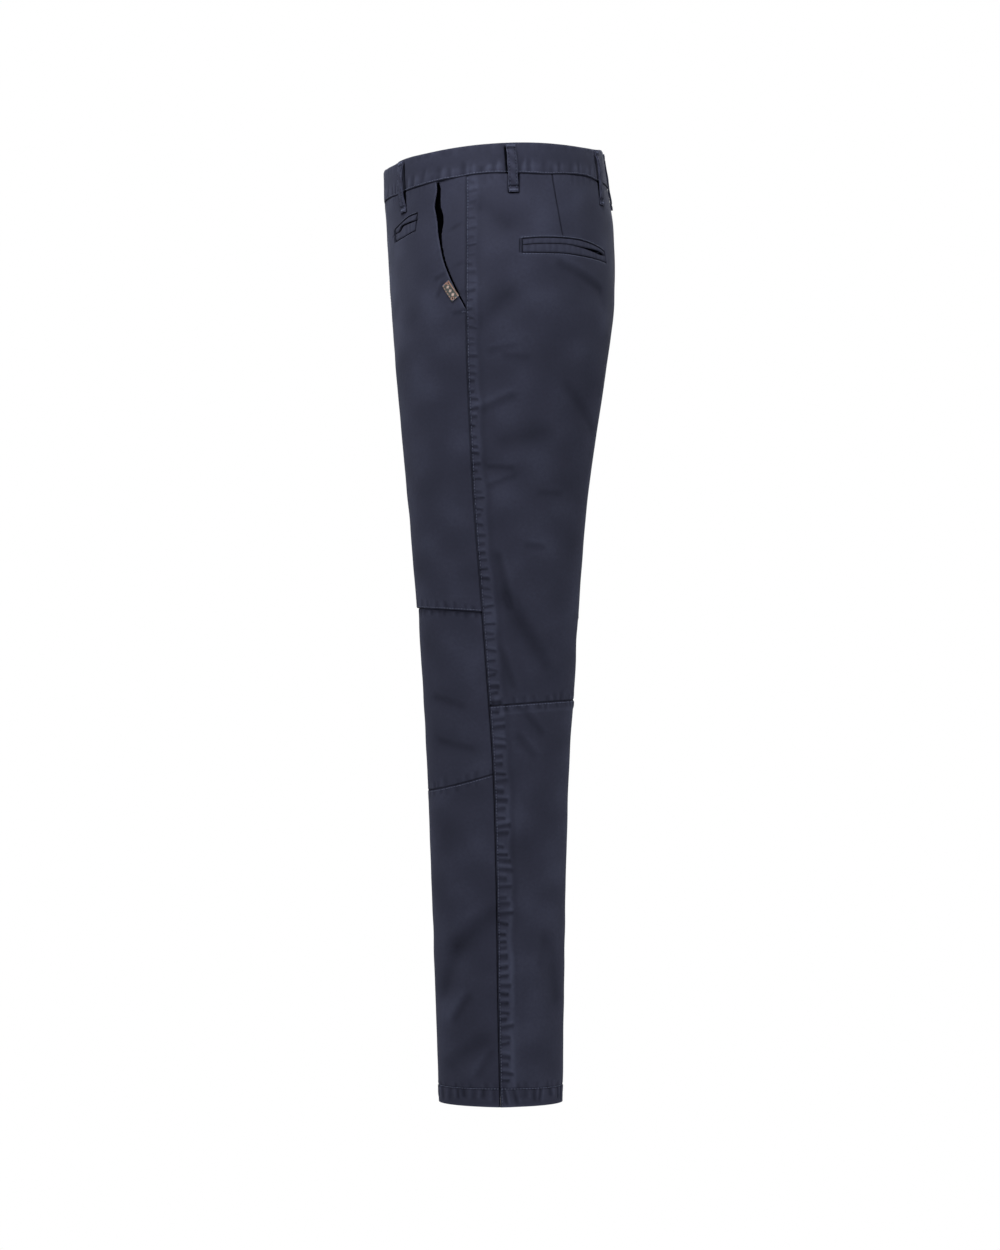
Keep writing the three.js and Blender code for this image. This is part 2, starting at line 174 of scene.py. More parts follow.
# The largest folds, as in the solids
MAIN_FOLDS = (
    Fold(12, -46, 44, -74, 9, 1.6),
    Fold(49, -148, 18, -177, 10, 2.2),
    Fold(112, -128, 172, -140, 13, 1.5),
    Fold(112, -243, 151, -284, 13, 1.8),
    Fold(18, -329, 46, -336, 9, 1.6),
    Fold(21, -430, 30, -478, 10, 1.8),
    Fold(30, -478, 72, -550, 15, 2.3),
    Fold(140, -516, 190, -498, 12, 2),
    Fold(-62, -578, -31, -586, 9, 1.4),
    Fold(-60, -625, -22, -633, 9, 1.4),
    Fold(-6, -806, -46, -842, 14, 1.7),
    Fold(-48, -846, -62, -896, 13, 1.7),
    Fold(-15, -850, -48, -900, 12, -1.2),
    Fold(58, -842, 69, -910, 12, 1.2),
    Fold(-250, -252, -190, -300, 11, 2.4),
    Fold(-255, -285, -205, -345, 12, 1.8),
    Fold(305, -255, 230, -305, 13, 2.6),
    Fold(215, -560, 170, -510, 12, 2),
    Fold(-200, -560, -150, -540, 11, 1.6),
)

# Smaller creases, each with a raised edge above or below it
CREASES = (
    Fold(-16, -26, 13, -53, 5, 0.5),
    Fold(26, -205, 49, -200, 4, 0.5, 0.3),
    Fold(41, -210, 64, -212, 4, 0.5, 0.3),
    Fold(14, -268, 47, -254, 5, 0.8, 0.4),
    Fold(38, -301, 80, -293, 10, 0.6),
    Fold(19, -329, 43, -330, 3.2, 0.6, 0.4),
    Fold(19, -349, 44, -339, 3.2, 0.6, 0.4),
    Fold(74, -356, 96, -357, 4, 0.5, 0.3),
    Fold(55, -413, 71, -415, 4, 0.6, 0.3),
    Fold(21, -424, 30, -478, 4.5, 0.7, 0.4),
    Fold(28, -470, 66, -540, 8, 0.6, 0.3),
    Fold(18, -525, 27, -562, 4, 0.6, 0.3),
    Fold(37, -591, 55, -614, 5, 0.7, 0.3),
    Fold(30, -620, 44, -638, 5, 0.7, 0.3),
    Fold(-63, -577, -31, -586, 4, 0.5, 0.3),
    Fold(-61, -624, -23, -632, 4, 0.5, 0.3),
    Fold(-6, -809, -48, -846, 9, 0.6, 0.3),
    Fold(-46, -848, -62, -890, 9, 0.5, 0.3),
    Fold(-33, -900, -49, -924, 5, 0.8, 0.5),
    Fold(-54, -972, -18, -946, 9, 0.6, 0.3),
    Fold(-22, -982, -9, -960, 4.5, 0.7, 0.3),
    Fold(-37, -126, -27, -122, 3, 0.8, 0.3),
    Fold(-34, -144, -28, -132, 3, 0.9, 0.3),
    Fold(-13, -165, -2, -163, 3, 0.8, 0.3),
    Fold(16, -800, 15, -994, 4, -0.5),
    Fold(59, -844, 69, -900, 8, 0.4, 0.3),
    Fold(53, -834, 48, -864, 6, 0.4, 0.2),
    Fold(105, -114, 174, -136, 5, 0.7, 0.3),
    Fold(112, -243, 151, -284, 7, 0.35, 0.3),
    Fold(-222, -236, -170, -262, 5, 0.9, 0.5),
    Fold(-236, -262, -186, -282, 5, 0.9, 0.5),
    Fold(-218, -196, -168, -206, 5, 0.7, 0.4),
    Fold(280, -236, 226, -268, 6, 1, 0.5),
    Fold(262, -214, 214, -232, 5, 0.8, 0.4),
    Fold(140, -498, 178, -508, 5, 0.8, 0.5),
    Fold(136, -528, 182, -534, 5, 0.8, 0.5),
    Fold(142, -556, 176, -552, 5, 0.6, 0.4),
    Fold(-150, -520, -112, -510, 5, 0.6, 0.3),
    Fold(-130, -842, -114, -880, 6, 0.8, 0.4),
    Fold(118, -872, 138, -934, 6, 0.9, 0.4),
)


class RightSide(NamedTuple):
    """How the right side's folds differ from the left's."""

    down: float = 9.0
    back: float = 5.0
    share: float = 0.85


RIGHT_SIDE = RightSide()


def smooth(x: Array) -> Array:
    """A share from 0 to 1 with a level start and end."""
    x = np.clip(x, 0.0, 1.0)
    return x * x * (3 - 2 * x)


def lerp(a: Array, b: Array, share: Array) -> Array:
    """The value that share of the way from a to b."""
    return a + (b - a) * share


def bump(distance: Array, width: float) -> Array:
    """A bell of height 1: e to the minus squared distance over width."""
    return np.exp(-((distance / width) ** 2))


def curve(x: Array, values: Array, at: Array) -> Array:
    """A cubic through points, its slope at each the mean of the two straight lines that meet there.

    Args:
        x: Where the points are, rising.
        values: Their values.
        at: Where to read the curve; past its ends it is level.

    Returns:
        The curve's values.
    """
    secants = np.diff(values) / np.diff(x)
    slopes = np.concatenate([secants[:1], (secants[1:] + secants[:-1]) / 2, secants[-1:]])
    at = np.clip(at, x[0], x[-1])
    k = np.clip(np.searchsorted(x, at, side="right") - 1, 0, len(x) - 2)
    span = x[k + 1] - x[k]
    t = (at - x[k]) / span
    keep = (1 + 2 * t) * (1 - t) ** 2 * values[k] + t * t * (3 - 2 * t) * values[k + 1]
    return keep + span * t * (1 - t) * ((1 - t) * slopes[k] - t * slopes[k + 1])


class Trace:
    """A line on the cloth, through given points and smooth between them."""

    def __init__(self, *points: tuple[float, float]) -> None:
        """Keeps the points: where each is, rising, and the line's value there."""
        self.at, self.values = np.array(points, dtype=float).T

    def __call__(self, at: Array, move: float = 0.0) -> Array:
        """The line's value at a place, moved."""
        return curve(self.at, self.values, np.asarray(at, float)) + move


# How far the waist seam and the waistband's top edge stray from level, by distance from the side seam
WAIST_WAVER = Trace(
    (-300, -1.6), (-161, -1.6), (-130, -2.8), (-95, -3), (-75, -2), (-56, -1.3), (-32, 0), (-10, 0.5),
    (10, 1.8), (30, 1.8), (42, 0.8), (63, 0), (87, -1.2), (115, 0), (148, 0.8), (165, -0.3),
    (178, -1.7), (205, -1.7), (260, -1.5), (400, -1.5),
)
TOP_WAVER = Trace(
    (-300, 0), (-161, 0), (-148, -0.9), (-129, -1.5), (-111, -1.8), (-101, -1.2), (-92, -0.2), (-76, 0),
    (-50, -0.4), (-20, 0), (15, 0.5), (40, 0.5), (75, 0), (110, -0.8), (140, -0.9), (160, -0.2), (175, 0.6),
    (190, 1.9), (205, 3.8), (225, 5.4), (260, 6), (400, 6),
)


class Form:
    """The surface that the cloth follows, before its relief."""

    ROUNDNESS = 2.2  # exponent of a section's outline: 2 is an ellipse
    SPLIT_TOP = 16.0  # the halves start to part here
    SPLIT_POWER = 2.6
    LEG_AXIS = 89.0  # x of a leg's middle at the crotch
    WAIST_TILT = 0.071
    WAIST_LIFT = 5.0
    WAIST_FADE = 220.0
    WAIST_WAVER_FADE = 13.0  # height over which the waist seam's waver dies away
    TOP_WAVER_FADE = 14.0
    HOLD_REACH = 9.0  # the centre seam's edges are held within this distance
    HOLD_FROM = 14.0  # and from this far below the crotch
    HOLD_FADE = 12.0
    ROW_STEP = 1.0
    TURN_STEPS = 1440
    HALF_COLUMNS = 300

    def __init__(self) -> None:
        """Works out a table of the left half's outline, one row for each millimetre of height."""
        self.top = SECTIONS[0].z
        rows = int((self.top - HEM) / self.ROW_STEP) + 1
        heights = self.top - self.ROW_STEP * np.arange(rows)
        side, half, front, back, seam = (self._curve(name, heights) for name in Section._fields[1:])
        self.side_x = side
        self.table, self.front_lengths, self.back_lengths = self._outlines(
            heights, side, half, front, back, seam
        )

    @staticmethod
    def _curve(name: str, heights: Array) -> Array:
        """One column of the sections at the heights, smooth between its rows."""
        depths = np.array([-row.z for row in SECTIONS], dtype=float)
        return curve(depths, np.array([getattr(row, name) for row in SECTIONS], dtype=float), -heights)

    def _outlines(
        self, heights: Array, side: Array, half: Array, front: Array, back: Array, seam: Array
    ) -> tuple[Array, Array, Array]:
        """Superellipses, cut off at the middle above the crotch and whole below it, evenly divided.

        x is the middle plus the half width times the cosine to the power 2 over the roundness, and y
        likewise with the sine. Columns run from the centre front to the side seam and on to the back.

        Args:
            heights: Height of each row.
            side: Column of the sections at each height, as are half, front, back and seam.

        Returns:
            A table of x, y and outward direction, and the cloth's length in front of and behind the seam.
        """
        parted = smooth((self.SPLIT_TOP - heights) / (self.SPLIT_TOP - CROTCH)) ** self.SPLIT_POWER
        is_leg = heights <= CROTCH
        middle = np.where(is_leg, side - half, self.LEG_AXIS * parted)
        inner = np.where(is_leg, half, self.LEG_AXIS)
        turn = np.where(is_leg, math.pi, math.pi - np.arccos(parted ** (self.ROUNDNESS / 2)))
        angle = turn[:, None] * np.linspace(-1, 1, self.TURN_STEPS + 1)

        def bulge(value: Array) -> Array:
            """The value's size to the power 2 over the roundness, with its sign."""
            return np.sign(value) * np.abs(value) ** (2 / self.ROUNDNESS)

        across = np.where(np.cos(angle) > 0, (side - middle)[:, None], inner[:, None])
        x = middle[:, None] + across * bulge(np.cos(angle))
        y = ((back + front) / 2)[:, None] + ((back - front) / 2)[:, None] * bulge(np.sin(angle))
        length = np.concatenate(
            [np.zeros((len(heights), 1)), np.cumsum(np.hypot(np.diff(x), np.diff(y)), axis=1)], axis=1
        )
        share = np.linspace(0, 1, self.HALF_COLUMNS + 1)
        rows, fronts, backs = [], [], []
        outer = slice(self.TURN_STEPS // 4, 3 * self.TURN_STEPS // 4)
        for row in range(len(heights)):
            at_seam = np.interp(seam[row], y[row, outer], length[row, outer])
            total = length[row, -1]
            stations = np.concatenate([at_seam * share, at_seam + (total - at_seam) * share[1:]])
            rows.append(
                (np.interp(stations, length[row], x[row]), np.interp(stations, length[row], y[row]))
            )
            fronts.append(at_seam)
            backs.append(total - at_seam)
        xy = np.array(rows)
        along = np.gradient(xy, axis=2)
        along /= np.linalg.norm(along, axis=1, keepdims=True)
        table = np.stack([xy[:, 0], xy[:, 1], along[:, 1], -along[:, 0]], axis=-1)
        return table, np.array(fronts), np.array(backs)

    def _row(self, z: Array) -> Array:
        """A height's place among the table's rows."""
        return np.clip((self.top - z) / self.ROW_STEP, 0, len(self.side_x) - 1)

    def front_length(self, z: Array) -> Array:
        """Length of the cloth from the side seam to the centre front or inseam."""
        return np.interp(self._row(z), np.arange(len(self.side_x)), self.front_lengths)

    def back_length(self, z: Array) -> Array:
        """Length of the cloth from the side seam to the centre back or inseam."""
        return np.interp(self._row(z), np.arange(len(self.side_x)), self.back_lengths)

    def place(self, side: Side, s: Array, z: Array, out: Array) -> Array:
        """Points of the cloth: a look-up in the table between four entries, then a move out.

        Past the centre the cloth carries on over the other side. The waist's rise is a share that dies
        away downwards, times a tilt on y and a lift on the square of x over the half width. Above the
        crotch the centre seam's edges don't move apart, so that the seam stays closed.

        Args:
            side: The side that s is counted on.
            s: Distance from the side seam along the cloth, + to the back.
            z: Height before the waist's rise.
            out: Move off the surface.

        Returns:
            Points, with x, y and z last.
        """
        s, z, out = np.broadcast_arrays(np.asarray(s, float), np.asarray(z, float), np.asarray(out, float))
        front, back = self.front_length(z), self.back_length(z)
        over = (s > back) | (s < -front)
        s = np.where(s > back, 2 * back - s, np.where(s < -front, -2 * front - s, s))
        column = (np.where(s < 0, s / front, s / back) + 1) * self.HALF_COLUMNS
        row = self._row(z)
        i = np.clip(column.astype(int), 0, 2 * self.HALF_COLUMNS - 1)
        j = np.clip(row.astype(int), 0, len(self.side_x) - 2)
        u, v = (column - i)[..., None], (row - j)[..., None]
        upper = lerp(self.table[j, i], self.table[j, i + 1], u)
        lower = lerp(self.table[j + 1, i], self.table[j + 1, i + 1], u)
        found = lerp(upper, lower, v)
        inner = np.where(s < 0, front + s, back - s)
        above_crotch = smooth((z - CROTCH + self.HOLD_FROM) / self.HOLD_FADE)
        held = 1 - (1 - smooth(inner / self.HOLD_REACH)) * above_crotch
        x = np.maximum(found[..., 0] + found[..., 2] * out * held, SEAM_GAP / 2)
        y = found[..., 1] + found[..., 3] * out
        waver = WAIST_WAVER(s) * bump(z - BAND_BOTTOM, self.WAIST_WAVER_FADE)
        waver = waver + TOP_WAVER(s) * bump(z - BAND_TOP, self.TOP_WAVER_FADE)
        share = smooth(1 - (self.SPLIT_TOP - z) / self.WAIST_FADE)
        half_width = np.interp(row, np.arange(len(self.side_x)), self.side_x)
        rise = share * (self.WAIST_TILT * y + self.WAIST_LIFT * (x / half_width) ** 2)
        return np.stack([np.where(over, -side.value, side.value) * x, y, z + rise + waver], axis=-1)


FORM = Form()


def seam_height(seam: Seam, share: Array) -> Array:
    """Height of a bowed seam: half a sine wave over its level, share of the way round the panel."""
    return seam.z + seam.bow * np.sin(math.pi * share)


@dataclass(frozen=True)
class Puckers:
    """Short troughs across a seam, uneven in place, depth, width and reach.

    Each is a bell along the seam times a smooth rise and fall away from it, and is tilted a little. A
    weaker bell beside each stands up.
    """

    DEPTHS = (0.55, 1.2)  # the ranges that shares of the depth, width and reach are drawn from
    WIDTHS = (0.7, 1.3)
    REACHES = (0.65, 1.25)
    TILTS = (-0.16, 0.22)  # run along the seam for each millimetre away from it

    start: float
    end: float
    spacing: float
    depth: float
    reach: float
    seed: int
    width: float = 2.6
    begin: float = 1.5  # distance from the seam where a trough is at its full depth
    fade: float = 0.55  # share of the reach over which it ends
    grow: float = 0.0  # extra depth at its outer end
    uneven: float = 0.33  # how far a trough strays along the seam, as a share of the spacing

    def relief(self, along: Array, across: Array) -> Array:
        """The move out at each point.

        Args:
            along: Distance or height along the seam.
            across: Distance from the seam.

        Returns:
            The move, mostly inwards.
        """
        rng = np.random.default_rng(self.seed)
        count = max(1, int(abs(self.end - self.start) / self.spacing))
        centres = self.start + (np.arange(count) + 0.5) * (self.end - self.start) / count
        centres += rng.uniform(-self.uneven, self.uneven, count) * self.spacing
        depths = self.depth * rng.uniform(*self.DEPTHS, count)
        widths = self.width * rng.uniform(*self.WIDTHS, count)
        reaches = self.reach * rng.uniform(*self.REACHES, count)
        tilts = rng.uniform(*self.TILTS, count)
        out = np.zeros(np.broadcast(along, across).shape)
        near = (across > 0) & (across < self.reach * 1.3)
        near = np.broadcast_to(near, out.shape)
        a, c = (v[near][:, None] for v in np.broadcast_arrays(along, across))
        bell = bump(a - centres - tilts * c, widths)
        raised = 0.5 * bump(a - centres - tilts * c - 1.7 * widths, 0.8 * widths)
        window = smooth(c / self.begin) * smooth((reaches - c) / (self.fade * reaches))
        window = window * (1 + self.grow * (c / reaches - 0.5))
        out[near] = (window * depths * (raised - bell)).sum(axis=1)
        return out


class Drape:
    """The cloth's folds, creases and slight unevenness on one side, as a move out from the form."""

    WAVES = 16
    WAVE_LENGTHS = (34.0, 120.0)
    WAVE_DEPTH = 0.12

    def __init__(self, side: Side) -> None:
        """Draws the side's own slight waves.

        Args:
            side: Which half of the garment.
        """
        self.side = side
        rng = np.random.default_rng(11 + side.value)
        length = rng.uniform(*self.WAVE_LENGTHS, self.WAVES)
        direction = rng.uniform(0, math.pi, self.WAVES)
        self.wave_s = 2 * math.pi * np.cos(direction) / length
        self.wave_z = 2 * math.pi * np.sin(direction) / length
        self.phase = rng.uniform(0, 2 * math.pi, self.WAVES)

    def _own(self, s: Array, z: Array) -> tuple[Array, Array, float]:
        """A point on the left side that this side's folds are taken from, and their share of the depth."""
        if self.side is Side.LEFT:
            return s, z, 1.0
        return s - RIGHT_SIDE.back, z + RIGHT_SIDE.down, RIGHT_SIDE.share

    def _trough(self, folds: Sequence[Fold], s: Array, z: Array) -> Array:
        """Sum over the folds of minus depth times a bell of the distance from the fold's line.

        A raised edge is a second bell beside it, above the line.

        Args:
            folds: Folds of the left side.
            s: Distance from the side seam.
            z: Height.

        Returns:
            The move out.
        """
        s, z, share = self._own(s, z)
        out = np.zeros(np.broadcast(s, z).shape)
        for fold in folds:
            ds, dz = fold.s1 - fold.s0, fold.z1 - fold.z0
            length = math.hypot(ds, dz)
            along = ((s - fold.s0) * ds + (z - fold.z0) * dz) / length**2
            held = np.clip(along, 0, 1)
            distance = np.hypot(s - fold.s0 - held * ds, z - fold.z0 - held * dz)
            out -= fold.depth * bump(distance, fold.width)
            if fold.ridge:
                upright = math.copysign(1.0, ds) or 1.0
                offset = ((z - fold.z0) * ds - (s - fold.s0) * dz) / length * upright
                past = np.maximum(np.abs(along - 0.5) - 0.5, 0) * length
                edge = bump(offset - 1.5 * fold.width, 0.75 * fold.width) * bump(past, fold.width)
                out += fold.ridge * fold.depth * edge
        return out * share

    def folds(self, s: Array, z: Array) -> Array:
        """The largest folds alone, as the solids have them."""
        return self._trough(MAIN_FOLDS, s, z)

    def creases(self, s: Array, z: Array) -> Array:
        """The smaller creases and the slight waves."""
        waves = np.zeros(np.broadcast(s, z).shape)
        for ws, wz, phase in zip(self.wave_s, self.wave_z, self.phase):
            waves += np.sin(ws * s + wz * z + phase)
        return self._trough(CREASES, s, z) + self.WAVE_DEPTH * waves / math.sqrt(self.WAVES / 4)


DRAPES = {side: Drape(side) for side in Side}

COARSER = 3  # the inner face has one cell for this many of the outer's, each way
GRID_STEP = {Side.LEFT: 1.8, Side.RIGHT: 2.7}
BAND_STEP = {Side.LEFT: 1.6, Side.RIGHT: 2.4}
SIDE_SEAM_STEP = {Side.LEFT: 1.2, Side.RIGHT: 1.6}
EDGE_REACH = 1.2  # every grid is fine this near its edges
EDGE_STEP = 0.4
STEP_GROWTH = 0.3  # how fast the spacing may grow with distance
STATION_SAMPLES = 6000


class Fine(NamedTuple):
    """A stretch of a grid with closer stations."""

    start: float
    end: float
    step: float


def stations(length: float, step: float, fine: Sequence[Fine] = ()) -> Array:
    """Stations from 0 to a length, close together at both ends and in the fine stretches.

    The spacing at each place is the least of the even step and, for each stretch, its own step plus a
    share of the distance from it. The stations divide the integral of one over the spacing evenly.

    Args:
        length: The last station.
        step: The even spacing.
        fine: Stretches with closer stations.

    Returns:
        The stations, with a whole number of coarse cells between them.
    """
    x = np.linspace(0, length, STATION_SAMPLES)
    spacing = np.full(x.shape, step)
    edges = Fine(0, EDGE_REACH, EDGE_STEP), Fine(length - EDGE_REACH, length, EDGE_STEP)
    for start, end, close in (*fine, *edges):
        away = np.maximum(0, np.maximum(start - x, x - end))
        spacing = np.minimum(spacing, close + STEP_GROWTH * away)
    count = np.concatenate([[0], np.cumsum(np.diff(x) * 2 / (spacing[1:] + spacing[:-1]))])
    cells = COARSER * math.ceil(count[-1] / COARSER)
    return np.interp(np.linspace(0, count[-1], cells + 1), count, x)


def new_mesh(name: str, points: Array, faces: Sequence[Array], uv: Array, wear: Array) -> bpy.types.Object:
    """A mesh object at the origin, with the cloth's own map in metres and its colour attribute of rubbed
    paleness and painted shade.

    Args:
        name: The piece's name.
        points: Points in millimetres.
        faces: Corner indices, an array for each number of corners.
        uv: The cloth's flat place of each point, in millimetres.
        wear: 0 is the plain dye, + paler where rubbed, - darker as painted shade in seams, creases and gaps;
            on the tab it holds the woven figure.

    Returns:
        The object.
    """
    mesh = bpy.data.meshes.new(name)
    mesh.vertices.add(len(points))
    mesh.vertices.foreach_set("co", (points * MM).astype(np.float32).ravel())
    corners = np.concatenate([group.ravel() for group in faces]).astype(np.int32)
    totals = np.concatenate([np.full(len(group), group.shape[1]) for group in faces]).astype(np.int32)
    mesh.loops.add(len(corners))
    mesh.loops.foreach_set("vertex_index", corners)
    mesh.polygons.add(len(totals))
    mesh.polygons.foreach_set("loop_start", (np.cumsum(totals) - totals).astype(np.int32))
    mesh.polygons.foreach_set("loop_total", totals)
    mesh.update(calc_edges=True)
    layer = mesh.uv_layers.new(name="cloth")
    layer.data.foreach_set("uv", (uv[corners] * MM).astype(np.float32).ravel())
    # The colour attribute: paler where rubbed, darker where shade is painted
    attribute = mesh.attributes.new("wear", "FLOAT", "POINT")
    attribute.data.foreach_set("value", wear.astype(np.float32))
    mesh.polygons.foreach_set("use_smooth", np.ones(len(totals), dtype=bool))
    mesh.set_sharp_from_angle(angle=math.radians(55))
    mesh.validate()
    made = bpy.data.objects.new(name, mesh)
    bpy.context.scene.collection.objects.link(made)
    return made


def shell_faces(rows: int, columns: int, outwards: bool) -> list[Array]:
    """Faces of a closed wall: a fine outer grid, a coarser inner one, and a rim joining their edges.

    Args:
        rows: Rows of the outer grid, from top to bottom.
        columns: Columns of the outer grid, from front to back.
        outwards: True where the columns run to the right as seen from outside.

    Returns:
        Corner indices of the quads and of the rim's faces, with the inner points after the outer's.
    """
    outer = np.arange(rows * columns).reshape(rows, columns)
    shape = ((rows - 1) // COARSER + 1, (columns - 1) // COARSER + 1)
    inner = outer.size + np.arange(shape[0] * shape[1]).reshape(shape)

    def quads(at: Array) -> Array:
        """A grid's cells, turned outwards."""
        return np.stack([at[:-1, :-1], at[1:, :-1], at[1:, 1:], at[:-1, 1:]], -1).reshape(-1, 4)

    def rim(fine: Array, coarse: Array) -> Array:
        """Faces with a coarse cell's two corners on one side and all its fine points on the other."""
        steps = [fine[k : len(fine) - COARSER + k : COARSER] for k in range(COARSER + 1)]
        return np.stack([*steps, coarse[1:], coarse[:-1]], -1)

    rims = [
        rim(outer[:, 0], inner[:, 0])[:, ::-1],
        rim(outer[:, -1], inner[:, -1]),
        rim(outer[0], inner[0]),
        rim(outer[-1], inner[-1])[:, ::-1],
    ]
    faces = [np.concatenate([quads(outer), quads(inner)[:, ::-1]]), np.concatenate(rims)]
    return faces if outwards else [group[:, ::-1] for group in faces]


def cloth_shell(
    name: str, side: Side, s: Array, z: Array, out: Array, wall: Array, wear: Array
) -> bpy.types.Object:
    """A closed piece of cloth on the form.

    Args:
        name: The piece's name.
        side: The side that s is counted on.
        s: Distance from the side seam, a grid.
        z: Height, a grid.
        out: Move out from the form.
        wall: Thickness.
        wear: Rubbed paleness and painted shade of the outer face.

    Returns:
        The object.
    """
    coarse = (slice(None, None, COARSER), slice(None, None, COARSER))
    wall = np.broadcast_to(wall, s.shape)
    outer = FORM.place(side, s, z, out)
    inner = FORM.place(side, s[coarse], z[coarse], (out - wall)[coarse])
    uv = np.stack(np.broadcast_arrays(s, z), -1)
    worn_and_shaded = np.broadcast_to(wear, s.shape)
    return new_mesh(
        name,
        np.concatenate([outer.reshape(-1, 3), inner.reshape(-1, 3)]),
        shell_faces(*s.shape, side is Side.LEFT),
        np.concatenate([uv.reshape(-1, 2), uv[coarse].reshape(-1, 2)]),
        np.concatenate([worn_and_shaded.ravel(), np.zeros(s[coarse].size)]),
    )


def flat_area(s: Array, z: Array) -> float:
    """Area of a piece's flat cut in square millimetres: its cells' cross products, halved and added up."""
    p = np.stack([s, z], -1)
    one, two = p[1:, 1:] - p[:-1, :-1], p[1:, :-1] - p[:-1, 1:]
    return float(np.abs(one[..., 0] * two[..., 1] - one[..., 1] * two[..., 0]).sum() / 2)


def linear(colour: str) -> tuple[float, float, float, float]:
    """An sRGB hex colour such as #34384b, as linear light with alpha 1."""
    values = [int(colour[k : k + 2], 16) / 255 for k in (1, 3, 5)]
    return (*(v / 12.92 if v <= 0.04045 else ((v + 0.055) / 1.055) ** 2.4 for v in values), 1.0)


def add_node(tree: bpy.types.NodeTree, kind: str, inputs: dict | None = None, **settings) -> bpy.types.Node:
    """Adds a node with its settings and links.

    Args:
        tree: The node tree.
        kind: The node's type name, without ShaderNode.
        inputs: Socket name or number to a value, or to the output socket that feeds it.
        settings: The node's own properties.

    Returns:
        The node.
    """
    node = tree.nodes.new("ShaderNode" + kind)
    for name, value in settings.items():
        setattr(node, name, value)
    for key, value in (inputs or {}).items():
        if isinstance(value, bpy.types.NodeSocket):
            tree.links.new(value, node.inputs[key])
        else:
            node.inputs[key].default_value = value
    return node


def new_material(name: str) -> tuple[bpy.types.Material, bpy.types.NodeTree]:
    """An empty node material."""
    material = bpy.data.materials.new(name)
    material.use_nodes = True
    material.node_tree.nodes.clear()
    return material, material.node_tree


# Length of the wave texture's bands at scale 1, in metres
DIAGONAL_BAND = 0.444
STRAIGHT_BAND = 0.314


@dataclass(frozen=True)
class WashedTwill:
    """Cotton twill, piece dyed navy and washed once sewn.

    It gives the eye a soft, matt, faintly mottled cloth, paler where raised edges were rubbed in the wash
    and at grazing angles where the nap catches light, and darkest where shade is painted into seams, creases
    and pocket mouths. The twill's own ribs are 0.45 mm apart, too fine to show, and are drawn at 1.3 mm.
    """

    name: str
    # colour of the painted shade in seams, creases and gaps
    hollow: str
    dye: str
    rubbed: str
    rib: float = 1.3
    slub: float = 3.5
    mottle: float = 46.0
    mottle_share: float = 0.17  # how much of the colour ramp the mottle runs over
    fleck_share: float = 0.1
    roughness: float = 0.88
    sheen: float = 0.22
    sheen_tint: str = "#9aa0bc"

    def build(self) -> bpy.types.Material:
        """Makes the material: rubbing, painted shade and a mottle choose the colour, ribs and slubs give the
        relief.
        """
        material, tree = new_material(self.name)
        uv = add_node(tree, "UVMap", uv_map="cloth").outputs["UV"]
        wear = add_node(tree, "Attribute", attribute_name="wear").outputs["Fac"]
        cloud = add_node(
            tree, "TexNoise", {"Vector": uv, "Scale": 1 / (self.mottle * MM), "Detail": 3.0}
        ).outputs["Fac"]
        slub = add_node(
            tree, "TexNoise", {"Vector": uv, "Scale": 1 / (self.slub * MM), "Detail": 2.0}
        ).outputs["Fac"]
        ribs = add_node(
            tree,
            "TexWave",
            {"Vector": uv, "Scale": DIAGONAL_BAND / (self.rib * MM), "Distortion": 0.6, "Detail": 1.0},
            bands_direction="DIAGONAL",
        ).outputs["Fac"]
        middle = 0.5 - self.mottle_share / 2
        mottled = add_node(
            tree, "Math", {0: cloud, 1: self.mottle_share, 2: middle}, operation="MULTIPLY_ADD"
        )
        flecked = add_node(
            tree, "Math", {0: slub, 1: self.fleck_share, 2: mottled.outputs[0]}, operation="MULTIPLY_ADD"
        )
        centred = add_node(
            tree, "Math", {0: flecked.outputs[0], 1: -self.fleck_share / 2}, operation="ADD"
        )
        place = add_node(
            tree, "Math", {0: wear, 1: 0.5, 2: centred.outputs[0]}, operation="MULTIPLY_ADD"
        )
        # The ramp runs from the painted shade colour through the dye to the rubbed colour
        ramp = add_node(tree, "ValToRGB", {"Fac": place.outputs[0]})
        ramp.color_ramp.elements[0].color = linear(self.hollow)
        ramp.color_ramp.elements[1].color = linear(self.rubbed)
        ramp.color_ramp.elements.new(0.5).color = linear(self.dye)
        # Sheen and gloss follow the same attribute: less in painted shade, more where rubbed
        nap = add_node(
            tree, "Math", {0: wear, 1: self.sheen, 2: self.sheen}, operation="MULTIPLY_ADD", use_clamp=True
        )
        relief = add_node(tree, "Math", {0: ribs, 1: 0.35, 2: slub}, operation="MULTIPLY_ADD")
        normal = add_node(
            tree, "Bump", {"Height": relief.outputs[0], "Strength": 0.35, "Distance": 0.5 * MM}
        ).outputs["Normal"]
        shader = add_node(
            tree,
            "BsdfPrincipled",
            {
                "Base Color": ramp.outputs["Color"],
                "Roughness": self.roughness,
                "Specular IOR Level": nap.outputs[0],
                "Sheen Weight": nap.outputs[0],
                "Sheen Roughness": 0.45,
                "Sheen Tint": linear(self.sheen_tint),
                "Normal": normal,
            },
        )
        add_node(tree, "OutputMaterial", {"Surface": shader.outputs["BSDF"]})
        return material


@dataclass(frozen=True)
class SewingThread:
    """Spun polyester thread, lockstitched: tonal and slightly brighter than the cloth, with a low gloss."""

    name: str
    colour: str
    roughness: float = 0.6

    def build(self) -> bpy.types.Material:
        """Makes the material, one colour with a soft gloss."""
        material, tree = new_material(self.name)
        shader = add_node(
            tree,
            "BsdfPrincipled",
            {"Base Color": linear(self.colour), "Roughness": self.roughness, "Sheen Weight": 0.2},
        )
        add_node(tree, "OutputMaterial", {"Surface": shader.outputs["BSDF"]})
        return material


